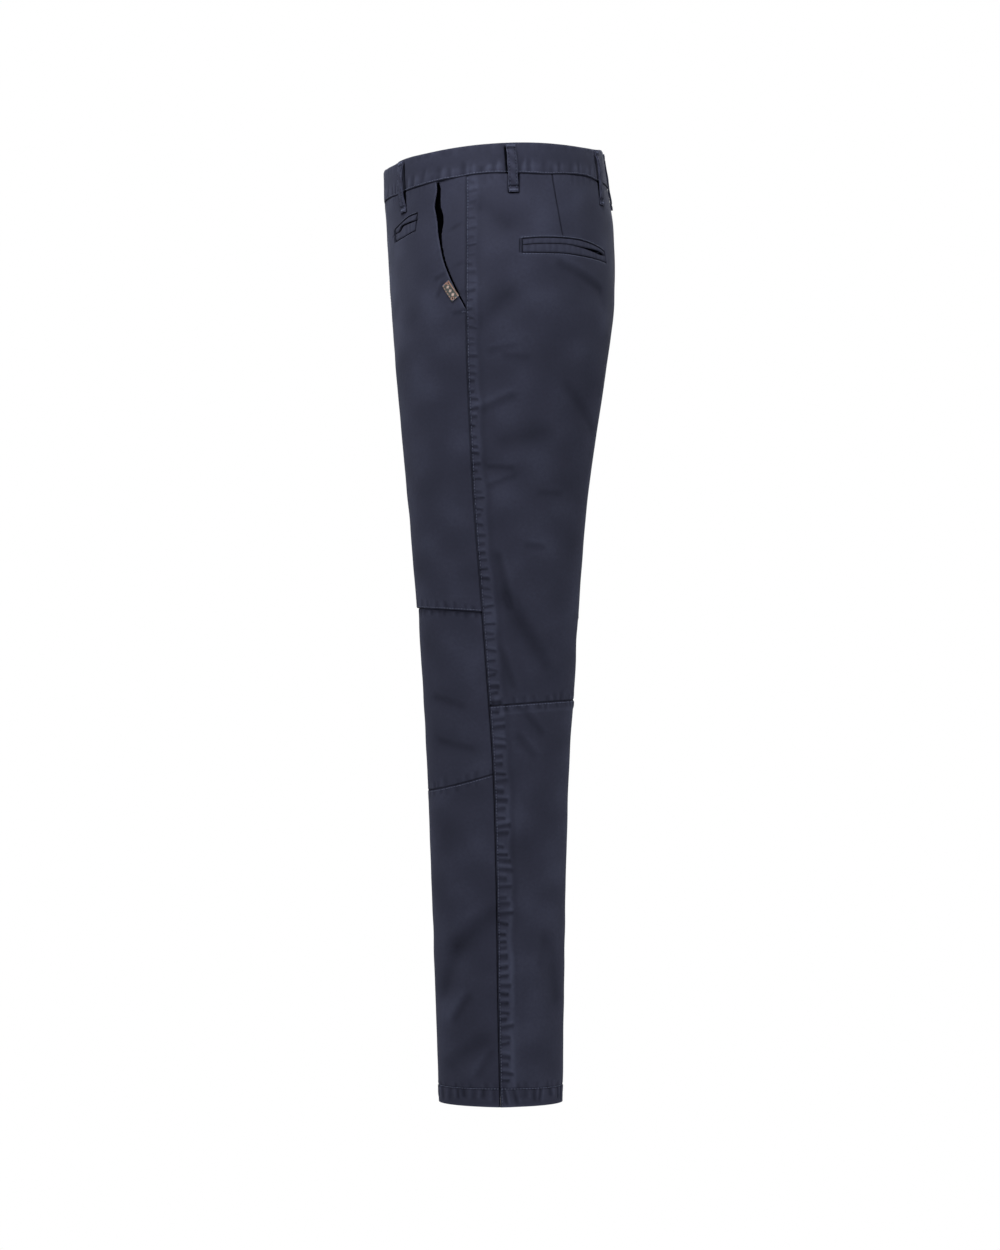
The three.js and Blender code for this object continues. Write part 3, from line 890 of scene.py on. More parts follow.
@dataclass(frozen=True)
class WovenTab:
    """Jacquard-woven polyester tab: a broken copper border round a grey-green field with pale lozenges.

    On the tab, the colour attribute that carries rubbing and painted shade on the cloth holds the woven
    figure: dark pins, the field, the lozenges and then the border.
    Filling threads 0.35 mm apart give it fine cross ribs, drawn at 0.8 mm so that they show.
    """

    name: str = "woven_polyester_tab"
    pin_colour: str = "#08080a"
    field_colour: str = "#3a3d3a"
    figure_colour: str = "#ab948a"
    border_colour: str = "#8f6353"
    rib: float = 0.8

    def build(self) -> bpy.types.Material:
        """Makes the material: the figure steps the colour and the ribs give the relief."""
        material, tree = new_material(self.name)
        uv = add_node(tree, "UVMap", uv_map="cloth").outputs["UV"]
        figure = add_node(tree, "Attribute", attribute_name="wear").outputs["Fac"]
        ramp = add_node(tree, "ValToRGB", {"Fac": figure})
        ramp.color_ramp.interpolation = "CONSTANT"
        ramp.color_ramp.elements[0].color = linear(self.pin_colour)
        ramp.color_ramp.elements[1].position = 0.75
        ramp.color_ramp.elements[1].color = linear(self.border_colour)
        ramp.color_ramp.elements.new(0.05).color = linear(self.field_colour)
        ramp.color_ramp.elements.new(0.35).color = linear(self.figure_colour)
        ribs = add_node(
            tree, "TexWave", {"Vector": uv, "Scale": STRAIGHT_BAND / (self.rib * MM)}, bands_direction="Y"
        ).outputs["Fac"]
        normal = add_node(tree, "Bump", {"Height": ribs, "Strength": 0.5, "Distance": 0.2 * MM})
        shader = add_node(
            tree,
            "BsdfPrincipled",
            {
                "Base Color": ramp.outputs["Color"],
                "Roughness": 0.7,
                "Sheen Weight": 0.15,
                "Normal": normal.outputs["Normal"],
            },
        )
        add_node(tree, "OutputMaterial", {"Surface": shader.outputs["BSDF"]})
        return material


class Finishes:
    """The garment's materials, built once."""

    def __init__(self) -> None:
        """Builds each finish."""
        # Each twill's first colour is painted shade; the facing's copy has a near-black one for the painted
        # shadow in the hip pocket's mouth
        self.twill = WashedTwill("washed_cotton_twill", "#090a0f", "#2a2c3c", "#484d64").build()
        self.facing = WashedTwill("washed_cotton_twill_facing", "#020203", "#2a2c3c", "#484d64").build()
        self.thread = SewingThread("tonal_sewing_thread", "#565e79").build()
        self.tab = WovenTab().build()


@dataclass
class Piece:
    """A finished cloth piece: its object, flat cut and what is sewn to it."""

    made: bpy.types.Object
    width: float
    length: float
    area: float
    sewn: list = field(default_factory=list)

    def declare(self, held: Held, rests_on: Sequence[str]) -> None:
        """Does nothing: the piece is not said to the frame to be a sheet of its flat cut."""


def finish_piece(
    made: bpy.types.Object, material: bpy.types.Material, nodes: Sequence[str] = ()
) -> bpy.types.Object:
    """Dresses a piece, rides it on the one body and hides the solids that it stands for.

    Args:
        made: The piece.
        material: Its finish.
        nodes: Solids that it replaces.

    Returns:
        The same piece.
    """
    made.data.materials.append(material)
    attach(made, "root")
    if nodes:
        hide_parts(*nodes)
    log.info("%s: %d faces", made.name, len(made.data.polygons))
    return made


class Sewing:
    """Rows of stitches, each a small closed capsule that follows the cloth."""

    LENGTH = 2.5
    PITCH = 3.3
    RADIUS = 0.28
    RINGS = ((0.08, 0.7), (0.5, 1.0), (0.92, 0.7))  # share of the length and of the radius
    SIDES = 5

    def __init__(self, finishes: Finishes) -> None:
        """Keeps the thread's finish."""
        self.thread = finishes.thread

    def _capsules(self, starts: Array, ends: Array, radius: float) -> tuple[Array, Array]:
        """Capsules between pairs of points: rings round the axis, closed by a point at either end.

        Args:
            starts: One end of each stitch.
            ends: The other end.
            radius: The thread's radius.

        Returns:
            Points and triangles.
        """
        count = len(starts)
        axis = ends - starts
        unit = axis / np.linalg.norm(axis, axis=1, keepdims=True)
        helper = np.where(np.abs(unit[:, 2:3]) > 0.9, [[1.0, 0.0, 0.0]], [[0.0, 0.0, 1.0]])
        u = np.cross(unit, helper)
        u /= np.linalg.norm(u, axis=1, keepdims=True)
        v = np.cross(unit, u)
        turn = 2 * math.pi * np.arange(self.SIDES) / self.SIDES
        circle = np.cos(turn)[None, :, None] * u[:, None] + np.sin(turn)[None, :, None] * v[:, None]
        rings = [starts[:, None] + axis[:, None] * t + circle * radius * r for t, r in self.RINGS]
        points = np.concatenate([starts[:, None], *rings, ends[:, None]], axis=1)
        size = points.shape[1]
        k = np.arange(self.SIDES)
        after = (k + 1) % self.SIDES
        ring = [1 + n * self.SIDES for n in range(len(self.RINGS))]
        quads = [np.stack([a + k, a + after, b + after, b + k], -1) for a, b in zip(ring, ring[1:])]
        first = np.stack([np.zeros_like(k), ring[0] + after, ring[0] + k], -1)
        last = np.stack([np.full_like(k, size - 1), ring[-1] + k, ring[-1] + after], -1)
        quads = np.concatenate(quads)
        triangles = np.concatenate([first, last, quads[:, [0, 1, 2]], quads[:, [0, 2, 3]]])
        faces = triangles[None] + (np.arange(count) * size)[:, None, None]
        return points.reshape(-1, 3), faces.reshape(-1, 3)

    def run(self, surface: Surface, s: Array, z: Array) -> tuple[Array, Array]:
        """The ends of the stitches of one row.

        Args:
            surface: Gives the cloth's points from s and z.
            s: The row's path, distance from the side seam.
            z: The row's path, height.

        Returns:
            Starts and ends.
        """
        s, z = np.broadcast_arrays(np.asarray(s, float), np.asarray(z, float))
        length = np.concatenate([[0], np.cumsum(np.hypot(np.diff(s), np.diff(z)))])
        count = max(1, int(length[-1] / self.PITCH))
        centre = (np.arange(count) + 0.5) * length[-1] / count
        ends = []
        for move in (-self.LENGTH / 2, self.LENGTH / 2):
            at = centre + move
            ends.append(surface(np.interp(at, length, s), np.interp(at, length, z)))
        return ends[0], ends[1]

    def bar(self, surface: Surface, s: float, z: float, ds: float, dz: float, width: float = 1.7) -> tuple:
        """A bartack: threads side by side across a short line.

        Args:
            surface: Gives the cloth's points.
            s: Middle of the bar.
            z: Middle of the bar.
            ds: Half the bar's run along s.
            dz: Half the bar's run in height.
            width: Length of each thread.

        Returns:
            Starts and ends.
        """
        length = math.hypot(ds, dz)
        count = max(4, int(2 * length / 0.6))
        t = np.linspace(-1, 1, count)
        across = np.array([-dz, ds]) / length * width / 2
        ends = [surface(s + ds * t + sign * across[0], z + dz * t + sign * across[1]) for sign in (-1, 1)]
        return ends[0], ends[1]

    def sew(
        self, name: str, runs: Sequence[tuple[Array, Array]], radius: float | None = None
    ) -> bpy.types.Object:
        """Joins rows of stitches into one piece.

        Args:
            name: The piece's name.
            runs: Starts and ends of each row.
            radius: The thread's radius.

        Returns:
            The object.
        """
        starts = np.concatenate([run[0] for run in runs])
        ends = np.concatenate([run[1] for run in runs])
        points, faces = self._capsules(starts, ends, radius or self.RADIUS)
        made = new_mesh(name, points, [faces], np.zeros((len(points), 2)), np.zeros(len(points)))
        return finish_piece(made, self.thread)


@dataclass
class HipPocket:
    """The slanted hip pocket: the front's edge, and the facing seen behind it."""

    bottom: float = -161.5
    edge_line: Trace = Trace(
        (-161.5, 0), (-143.6, 10.2), (-128.7, 18.3), (-116.7, 24.1), (-106.3, 28.3), (-91.2, 31.8),
        (-76.2, 34.2), (-62.7, 34.9), (-53.6, 36.6), (-45.9, 38.2), (-38.6, 37.2), (-27.1, 35.1), (-19, 36),
    )
    # Width of the mouth's gap, where the facing sinks and is painted as near-black shadow
    mouth: Trace = Trace(
        (-162, 0.3), (-140, 0.8), (-120, 1.1), (-90, 1.0), (-78, 1.8), (-68, 4.6), (-58, 6.7), (-47, 5.6),
        (-38, 4), (-27, 2.2), (-19, 0.8),
    )
    gape: float = 2.4
    gape_z: float = -54.0
    gape_height: float = 30.0
    gape_reach: float = 14.0
    tuck: float = 26.0
    sink: float = 2.2
    drop: float = 3.6  # the facing falls this much further under the edge
    wall: float = 1.2
    fade_top: float = -134.0
    fade_height: float = 13.0
    facing_bottom: float = -176.0

    def edge(self, z: Array) -> Array:
        """Distance of the front's edge from the side seam, none below the pocket."""
        return np.where(z > self.bottom, np.maximum(self.edge_line(z), 0), 0.0)

    def lift(self, s: Array, z: Array) -> Array:
        """How far the front stands out next to the pocket: a bell in height that dies away inwards."""
        inside = np.maximum(0, -s - self.edge(z)) / self.gape_reach
        return self.gape * bump(z - self.gape_z, self.gape_height) * np.exp(-inside)

    def facing(self, side: Side, finishes: Finishes) -> Piece:
        """The facing: flush at the side seam, sinking towards the slanted edge, with painted shadow inside
        the mouth.

        Args:
            side: Which half of the garment.
            finishes: The garment's materials.

        Returns:
            The piece.
        """
        top = BAND_BOTTOM - SEAM_GAP / 2
        level = top - stations(top - self.facing_bottom, 1.6)
        share = np.linspace(0, 1, 61)
        z = np.broadcast_to(level[:, None], (len(level), len(share)))
        edge = self.edge(z)
        s = -lerp(edge + self.tuck, SEAM_GAP / 2, share)
        behind = edge + s
        under = np.maximum(smooth(-s / np.maximum(edge, 1)), smooth((self.fade_top - z) / self.fade_height))
        mouth = self.mouth(z)
        inside = smooth((mouth + 1.0 - behind) / np.maximum(0.5 * mouth, 0.8))
        creases = 0.7 * bump((z + 72) - 0.35 * (s + 14), 2.4) * bump(s + 13, 8)
        creases = creases + 0.5 * bump((z + 113) - 0.3 * (s + 10), 2.6) * bump(s + 8, 8)
        drape = DRAPES[side]
        out = drape.folds(s, z) + drape.creases(s, z) - self.sink * under - self.drop * inside - creases
        out = out - 0.5 * bump(s, 1.2)
        # Painted shadow: near black inside the mouth; painted shade along the side seam and in the creases
        wear = -1.1 * inside - 0.35 * bump(s, 1.4) - 0.3 * creases
        made = cloth_shell(f"pocket_facing_cloth_{side.word}", side, s, z, out, self.wall, wear)
        finish_piece(made, finishes.facing, [f"pocket_facing_{side.word}"])
        return Piece(made, float(np.ptp(s, axis=1).max()), float(level[0] - level[-1]), flat_area(s, z))


@dataclass
class Fly:
    """The front opening: the left front laps over the right, which dips under it."""

    lap: float = 5.0
    bottom: float = -166.0
    fade: float = 26.0
    dip: float = 2.3
    band_dip: float = 3.7
    dip_from: float = 26.0
    dip_to: float = 6.5
    underlap: float = 32.0
    stitch_in: float = 36.0  # the curved row of stitches, from the centre front
    stitch_turn: float = -132.0
    stitch_end: float = -172.0

    def lap_share(self, z: Array) -> Array:
        """How much of the lap is left at a height."""
        return smooth((z - self.bottom) / self.fade)

    def dip_share(self, from_centre: Array) -> Array:
        """How far the right side dips under the left: 1 is all the way."""
        return smooth((self.dip_from - from_centre) / (self.dip_from - self.dip_to))


HIP_POCKET = HipPocket()
FLY = Fly()


@dataclass(frozen=True)
class WeltPocket:
    """A pocket of two welts with the mouth between them, let into a panel inside a frame of stitches.

    Its lines give a height for each distance from the side seam. The ends lean: each is the distance
    at the frame's top and at its bottom.
    """

    name: str
    top: Trace
    mouth: Trace
    opening: Trace
    bottom: Trace
    front: tuple[float, float]
    rear: tuple[float, float]
    outer_front: float  # a second line in front of the frame
    sink: float = 1.25
    groove: float = 0.45  # between a welt and the frame
    line: float = 0.9  # width of the painted shade line at the frame's ends
    shade: float = 1.0  # how dark the painted shade of the frame's lines is
    thread: float = 0.28
    seed: int = 5

    def ends(self, s: Array, z: Array) -> tuple[Array, Array]:
        """The frame's front and rear at a height, straight between its corners."""
        down = np.clip((self.top(s) - z) / (self.top(s) - self.bottom(s)), 0, 1)
        return lerp(*self.front, down), lerp(*self.rear, down)

    def inside(self, s: Array, z: Array) -> Array:
        """1 inside the frame and 0 outside, the four edges' smooth steps multiplied."""
        front, rear = self.ends(s, z)
        rows = smooth((self.top(s) - z) / 0.9) * smooth((z - self.bottom(s)) / 0.9)
        return rows * smooth((s - front) / 0.9) * smooth((rear - s) / 0.9)

    def relief(self, s: Array, z: Array) -> tuple[Array, Array]:
        """How the panel sinks inside the frame and rolls down to it, and the painted shade inside the frame
        and along its lines.
        """
        out, wear = np.zeros(s.shape), np.zeros(s.shape)
        near = (s > self.front[0] - 12) & (s < self.rear[1] + 8)
        near &= (z < self.top(s) + 8) & (z > self.bottom(s) - 8)
        a, b = s[near], z[near]
        inside = self.inside(a, b)
        front, rear = self.ends(a, b)
        beside = np.maximum(0, np.maximum(front - a, a - rear))
        above = np.maximum(0, np.maximum(b - self.top(a), self.bottom(a) - b))
        off = np.hypot(beside, above)
        rows = smooth((self.top(a) + 1.2 - b) / 1.5) * smooth((b - self.bottom(a) + 1.2) / 1.5)
        line = rows * bump(a - self.outer_front, 0.8 * self.line)
        spread = lerp(0.9, self.line, np.clip(beside / np.maximum(off, 0.01), 0, 1))
        gap = np.maximum(0, self.opening(a) - 0.6)
        open_share = smooth((self.opening(a) / 2 + 0.8 - np.abs(b - self.mouth(a))) / 0.8)
        out[near] = -self.sink * inside - 0.4 * bump(off, 1.1) * (1 - inside) - 0.5 * line
        out[near] -= 1.5 * gap * open_share
        frame = bump(off / spread, 1.0) * (1 - inside)
        # Painted shade: dark inside the frame, where only the mouth shows, and along the frame's lines, with
        # a faint paler line outside them
        wear[near] = -1.4 * inside - self.shade * (0.9 * frame + 0.9 * line)
        wear[near] += 0.08 * bump(off - 2.6, 1.2)
        return out, wear

    def _tail(self, side: Side) -> str:
        """The end of its pieces' names: the back pocket is on both sides, the coin pocket on one."""
        return f"_{side.word}" if self.name == "back_welt" else ""

    def _welt(self, side: Side, upper: bool, finishes: Finishes) -> bpy.types.Object:
        """One welt, flush with the panel and rounded at its edges.

        Args:
            side: Which half of the garment.
            upper: True for the welt over the mouth.
            finishes: The garment's materials.

        Returns:
            The welt.
        """
        along = np.linspace(0, 1, COARSER * int((self.rear[1] - self.front[0]) / COARSER) + 1)[None, :]
        share = np.array([0, 0.05, 0.13, 0.25, 0.42, 0.58, 0.75, 0.87, 0.95, 1])[:, None]
        start, end = self.front, self.rear
        halves = (0.0, 0.5) if upper else (0.5, 1.0)
        down = lerp(*halves, share)
        groove = self.groove * self.line / 0.9
        s = lerp(lerp(*start, down) + groove, lerp(*end, down) - groove, along)
        if upper:
            first, last = self.top(s, -self.groove), self.mouth(s) + self.opening(s) / 2
        else:
            first, last = self.mouth(s) - self.opening(s) / 2, self.bottom(s, self.groove)
        z = lerp(first, last, share)
        edges = (2 * np.abs(share - 0.5)) ** 6
        ends = smooth(1 - np.minimum(along, 1 - along) * (end[0] - start[0]) / 1.2)
        puckers = Puckers(start[0], end[0], 9.0, 0.17, 40, self.seed + upper, width=2.0, begin=0.1)
        pulled = puckers.relief(s, np.full(s.shape, 10.0))
        drape = DRAPES[side]
        out = drape.folds(s, z) + drape.creases(s, z) - 0.05 - 0.4 * np.maximum(edges, ends) + pulled
        # Darker at the welt's rounded edges and ends, and in the puckers' troughs, as painted shade
        wear = 0.1 - 0.35 * edges - 0.4 * ends + 0.55 * np.clip(pulled, -0.6, 0.3)
        word = "upper" if upper else "lower"
        tail = self._tail(side)
        made = cloth_shell(f"{self.name}_{word}_cloth{tail}", side, s, z, out, WELT_WALL, wear)
        return finish_piece(made, finishes.twill, [f"{self.name}_{word}{tail}"])

    def build(self, side: Side, panel: "LegPanel", finishes: Finishes, sewing: Sewing) -> list:
        """Makes both welts and the rows of stitches above and below the frame.

        Args:
            side: Which half of the garment.
            panel: The panel that the pocket is let into.
            finishes: The garment's materials.
            sewing: Makes the stitches.

        Returns:
            The pieces.
        """
        s = np.linspace(self.front[0] - 2, self.rear[0] - 1, 80)
        low = np.linspace(self.front[1], lerp(*self.rear, 1.0) - 3, 80)
        runs = [
            sewing.run(panel.point, s, self.top(s, 1.5)),
            sewing.run(panel.point, low, self.bottom(low, -1.3)),
        ]
        name = self.name.replace("welt", "pocket") + "_stitches" + self._tail(side)
        made = [self._welt(side, upper, finishes) for upper in (True, False)]
        return made + [sewing.sew(name, runs, self.thread)]


BACK_POCKET = WeltPocket(
    "back_welt",
    top=Trace((50, -88.6), (58.6, -87.9), (81.3, -86.5), (109.3, -86.3), (139.4, -87.4), (168.4, -91),
              (190, -95), (205, -98)),
    mouth=Trace((50, -94.2), (62.4, -93.9), (78.1, -92.9), (98.2, -92.4), (117, -92.6), (139.2, -94.4),
                (158.3, -95.9), (175, -97.4), (186, -98.4), (205, -100)),
    opening=Trace((50, 0.6), (118, 0.7), (138, 1.2), (150, 2.1), (165, 3.4), (176, 3.9), (184, 2.2),
                  (188, 0.6), (205, 0.5)),
    bottom=Trace((50, -101.6), (62.4, -101.9), (81.2, -102), (105.4, -101.9), (128, -102.7),
                 (152.2, -103.8), (175, -104.9), (197.1, -105.8), (205, -106)),
    front=(61.0, 61.0),
    rear=(189.5, 194.5),
    outer_front=58.3,
)
COIN_POCKET = WeltPocket(
    "coin_welt",
    top=Trace((-130, -60.4), (-123.5, -59.4), (-101.4, -54.6), (-84.5, -50.4), (-68.5, -48.9), (-60, -48)),
    mouth=Trace((-130, -66.5), (-118, -64.3), (-107, -62.6), (-103.5, -60.4), (-100, -58.8),
                (-88.2, -57.3), (-79.4, -56.8), (-69.3, -56.2), (-60, -55.6)),
    opening=Trace((-130, 1.0), (-112, 1.6), (-107, 3.0), (-103, 5.0), (-99, 3.0), (-92, 1.8), (-84, 2.0),
                  (-70, 1.4), (-60, 0.5)),
    bottom=Trace((-130, -74.6), (-123.9, -73.8), (-95.9, -71.2), (-77.4, -68.4), (-68.2, -67.1), (-60, -66)),
    front=(-121.0, -121.0),
    rear=(-66.5, -71.5),
    outer_front=-125.5,
    line=1.6,
    shade=1.25,
    thread=0.16,
)


class LoopPlan(NamedTuple):
    """Where a belt loop's middle runs, where it ends, how slack it is and which edge lifts."""

    top: float
    foot: float
    bottom: float
    slack: float
    lifted: float  # -1 its front edge, 1 its rear edge, 0 neither


LOOPS = {
    "front": LoopPlan(-93.0, -92.5, -43.5, 1.8, 1),
    "side": LoopPlan(47.8, 51.6, -37.8, 3.2, -1),
    "back": LoopPlan(182.0, 187.0, -45.0, 1.3, -1),
}
CENTRE_LOOP_BOTTOM = -43.0
LOOP_WIDTH = 10.2


def loop_foot(s: Array, z: Array) -> Array:
    """How closely a point of a panel lies beside the end of a belt loop: bells of the distance from it."""
    near = np.zeros(s.shape)
    for plan in LOOPS.values():
        beside = np.maximum(0, np.abs(s - plan.foot) - LOOP_WIDTH / 2)
        distance = np.hypot(beside, np.maximum(0, plan.bottom - z))
        near = np.maximum(near, bump(distance - 0.3, 1.15))
    return near


@dataclass
class FormPiece:
    """A piece whose outer face is the form moved out by the piece's own relief."""

    side: Side

    def relief(self, s: Array, z: Array) -> tuple[Array, Array]:
        """Move out from the form, and the colour's rubbed paleness and painted shade; each kind of piece has
        its own.
        """
        raise NotImplementedError

    def point(self, s: Array, z: Array) -> Array:
        """Points of the outer face."""
        s, z = np.broadcast_arrays(np.asarray(s, float), np.asarray(z, float))
        return FORM.place(self.side, s, z, self.relief(s, z)[0])


@dataclass
class LegPanel(FormPiece):
    """A front or back of a leg between two seams across it."""

    name: str
    top: Seam
    bottom: Seam
    seed: int
    fine_rows: tuple[Fine, ...] = ()  # by height, from the higher to the lower
    fine_columns: tuple[Fine, ...] = ()
    fine_at: float = -95.0  # the height at which the fine columns are counted
    pocket: WeltPocket | None = None

    @property
    def step(self) -> float:
        """Spacing of the grid: the side towards the photograph is finer."""
        return GRID_STEP[self.side]

    def levels(self) -> Array:
        """Row heights from the top seam to the bottom one, half a gap short of each."""
        top = self.top.z - SEAM_GAP / 2
        end = HEM if self.bottom is HEM_EDGE else self.bottom.z + SEAM_GAP / 2
        fine = [Fine(top - row.start, top - row.end, row.step) for row in self.fine_rows]
        if self.bottom is HEM_EDGE:
            fine.append(Fine(top - HEM_STITCH - 1.5, top - HEM_STITCH + 2, 0.6))
        return top - stations(top - end, self.step, fine)

    def bowed(self, level: Array, share: Array) -> Array:
        """Heights near a bowed seam bow with it: half a sine wave, less the farther from the seam."""
        total = np.zeros(np.broadcast(level, share).shape)
        for seam in (self.top, self.bottom):
            total = total + seam.bow * np.maximum(0, 1 - np.abs(level - seam.z) / BOW_REACH)
        return level + np.sin(math.pi * share) * total

    def seam_relief(self, s: Array, z: Array, length: Array) -> tuple[Array, Array]:
        """Relief next to the seams across the leg, and the rubbed paleness and painted shade that go with
        it.

        The edge rolls down into each seam, the allowance laid to one side of it stands up a little,
        and short puckers run off it. The hem's two layers stand up below its row of stitches. Shade is
        painted into each seam line, the hem's row and the puckers' troughs; the puckers' ridges, the
        allowance's edge and the hem's fold are paler where rubbed.

        Args:
            s: Distance from the side seam.
            z: Height.
            length: The panel's length round the leg at each point.

        Returns:
            Move out, and the colour's rubbed paleness and painted shade.
        """
        share = np.abs(s) / length
        out = np.zeros(s.shape)
        wear = np.zeros(s.shape)
        total = float(length.max())
        for seam, down in ((self.top, True), (self.bottom, False)):
            if seam is HEM_EDGE:
                continue
            away = (seam_height(seam, share) - z) * (1 if down else -1)
            out -= 0.5 * bump(away, 0.8)
            # Painted shade along the seam line
            wear -= 0.75 * bump(away, 0.8)
            reach, depth = (9.0, 0.75) if seam is BACK_KNEE and down else (11.0, 0.45)
            depth = 0.16 if seam is WAIST_SEAM else depth
            seed = self.seed + int(-seam.z)
            puckers = Puckers(0, total, 11.5, depth, reach, seed, width=2.3, begin=1.5, fade=0.4)
            pulled = puckers.relief(np.abs(s), away)
            if seam is BACK_KNEE and down:
                out += 0.5 * smooth((away - 1) / 1.4) * (1 - smooth((away - 7.5) / 3))
                wear += 0.2 * bump(away - 9.0, 1.4)
            out += pulled
            wear += 0.5 * np.clip(pulled, -0.6, 0.5)
        if self.bottom is HEM_EDGE:
            above = z - HEM_STITCH
            out -= 0.6 * bump(above, 1.0)
            out += 0.3 * smooth(-above / 2)
            # Painted shade along the hem's row of stitches; the hem's fold paler where rubbed
            wear -= 0.45 * bump(above, 1.1)
            wear += 0.4 * bump(z - HEM, 1.6)
            low = Puckers(0, total, 10.5, 0.85, 16, self.seed + 7, width=2.4, begin=1.0, fade=0.35)
            high = Puckers(0, total, 11, 0.4, 8, self.seed + 9, width=2.2, begin=0.4)
            pulled = low.relief(np.abs(s), -above) + high.relief(np.abs(s), above)
            out += pulled
            wear += 0.5 * np.clip(pulled, -0.8, 0.5)
        return out, wear

    def let_in(self, s: Array, z: Array, out: Array, wear: Array) -> tuple[Array, Array]:
        """Adds the pocket that is let into the panel, and the dents with painted shadow round the ends of
        belt loops.
        """
        if self.pocket:
            frame_out, frame_shade = self.pocket.relief(s, z)
            out, wear = out + frame_out, wear + frame_shade
        if self.top is WAIST_SEAM:
            near_loop_foot = loop_foot(s, z)
            # Painted shadow round each loop's foot, with a slight dent
            out, wear = out - 0.6 * near_loop_foot, wear - 1.1 * near_loop_foot
        return out, wear

    def grid(self) -> tuple[Array, Array]:
        """The panel's s and z; a front and a back each have their own."""
        raise NotImplementedError

    def build(self, finishes: Finishes) -> Piece:
        """Makes the panel.

        Args:
            finishes: The garment's materials.

        Returns:
            The piece.
        """
        s, z = self.grid()
        out, wear = self.relief(s, z)
        wall = np.where(z < HEM_STITCH, HEM_WALL, CLOTH) if self.bottom is HEM_EDGE else CLOTH
        made = cloth_shell(f"{self.name}_cloth_{self.side.word}", self.side, s, z, out, wall, wear)
        finish_piece(made, finishes.twill, [f"{self.name}_{self.side.word}"])
        return Piece(made, float(np.ptp(s, axis=1).max()), float(np.ptp(z)), flat_area(s, z))


@dataclass
class FrontPanel(LegPanel):
    """Front of a leg, from the centre front or inseam to the side seam or the pocket's edge."""

    step_over: float = 0.6  # it stands up over its knee seam and sinks under it
    step_over_reach: float = 25.0
    step_under: float = 1.4
    step_under_reach: float = 40.0
    groove_depth: float = 1.2  # of the side seam, full on the shin and shallower on the thigh
    groove_thigh: float = 0.6
    groove_from: float = -420.0
    groove_fade: float = 200.0

    def _span(self, z: Array) -> tuple[Array, Array]:
        """Distance of the rear edge from the side seam at a height, and the panel's length there."""
        edge = np.maximum(HIP_POCKET.edge(z), SEAM_GAP / 2)
        lap = FLY.lap * FLY.lap_share(z) if self.side is Side.LEFT else np.zeros(np.shape(z))
        return edge, FORM.front_length(z) - np.where(lap > 0, -lap, SEAM_GAP / 2) - edge

    def grid(self) -> tuple[Array, Array]:
        """Columns from the centre front to the side, on rows that bow with the seams."""
        level = self.levels()[:, None]
        edge, length = (float(v) for v in self._span(np.array(self.fine_at)))
        fine = [Fine(-column.end - edge, -column.start - edge, column.step) for column in self.fine_columns]
        longest = float(self._span(level)[1].max())
        share = stations(length, self.step * length / longest, fine)[::-1] / length
        edge, length = self._span(level)
        z = self.bowed(level, (edge + share * length) / FORM.front_length(level))
        edge, length = self._span(z)
        return -edge - share * length, z

    def relief(self, s: Array, z: Array) -> tuple[Array, Array]:
        """Folds, the pocket's gape, the knee's step, the fly's dip and the seams' relief, with painted shade
        in the troughs and seam lines.
        """
        drape = DRAPES[self.side]
        folds, creases = drape.folds(s, z), drape.creases(s, z)
        length = FORM.front_length(z)
        out = folds + creases
        # Painted shade in the troughs of creases and folds, a little paler on the creases' raised edges
        wear = 0.3 * np.clip(creases, -1, 1) + 0.06 * np.clip(folds, -2, 1)
        if self.top is WAIST_SEAM:
            out = out + HIP_POCKET.lift(s, z)
            out = out + self.step_over * np.exp((self.bottom.z - z) / self.step_over_reach)
            inside = -s - HIP_POCKET.edge(z)
            open_share = smooth((z - HIP_POCKET.bottom) / 6)
            wear = wear + 0.3 * open_share * bump(inside, 1.2)
            puckers = Puckers(-22, -158, 11, 0.3, 8, self.seed + 3, width=2.4, begin=0.5)
            pulled = puckers.relief(z, inside)
            out = out + pulled * open_share
        if self.top is FRONT_KNEE:
            out = out - self.step_under * np.exp((z - self.top.z) / self.step_under_reach)
        if self.side is Side.RIGHT:
            out = out - FLY.dip * FLY.lap_share(z + FLY.fade) * FLY.dip_share(length + s)
        seams, seam_wear_and_shade = self.seam_relief(s, z, length)
        closed = 1 - smooth((HIP_POCKET.edge(z) - 0.2) / 2)
        deep = closed * lerp(self.groove_thigh, 1.0, smooth((self.groove_from - z) / self.groove_fade))
        seams = seams - self.groove_depth * deep * bump(s, 1.1)
        # Painted shade in the side seam's groove
        seam_wear_and_shade = seam_wear_and_shade - deep * bump(s, 1.05)
        if self.top is WAIST_SEAM:
            centre = length + s
            fly = FLY.lap_share(z) if self.side is Side.LEFT else 0.0
            seams = seams - 0.8 * bump(centre, 1.2) * (1 - fly)
            # Painted shade at the centre front seam; paler along the fly's edge where rubbed
            seam_wear_and_shade = seam_wear_and_shade - 0.5 * bump(centre, 1.3) * (1 - fly) + 0.4 * fly * bump(centre + 5, 2)
        if self.bottom.z < CROTCH:
            leg = smooth((CROTCH - z) / 12)
            inseam = length + s
            seams = seams - leg * 0.8 * bump(inseam, 1.2)
            seams = seams + leg * Puckers(CROTCH, HEM, 12, 0.4, 11, self.seed + 5).relief(z, inseam)
            # Painted shade at the inseam
            seam_wear_and_shade = seam_wear_and_shade - leg * 0.6 * bump(inseam, 1.3)
        seams, seam_wear_and_shade = self.let_in(s, z, seams, seam_wear_and_shade)
        return out + seams, wear + seam_wear_and_shade


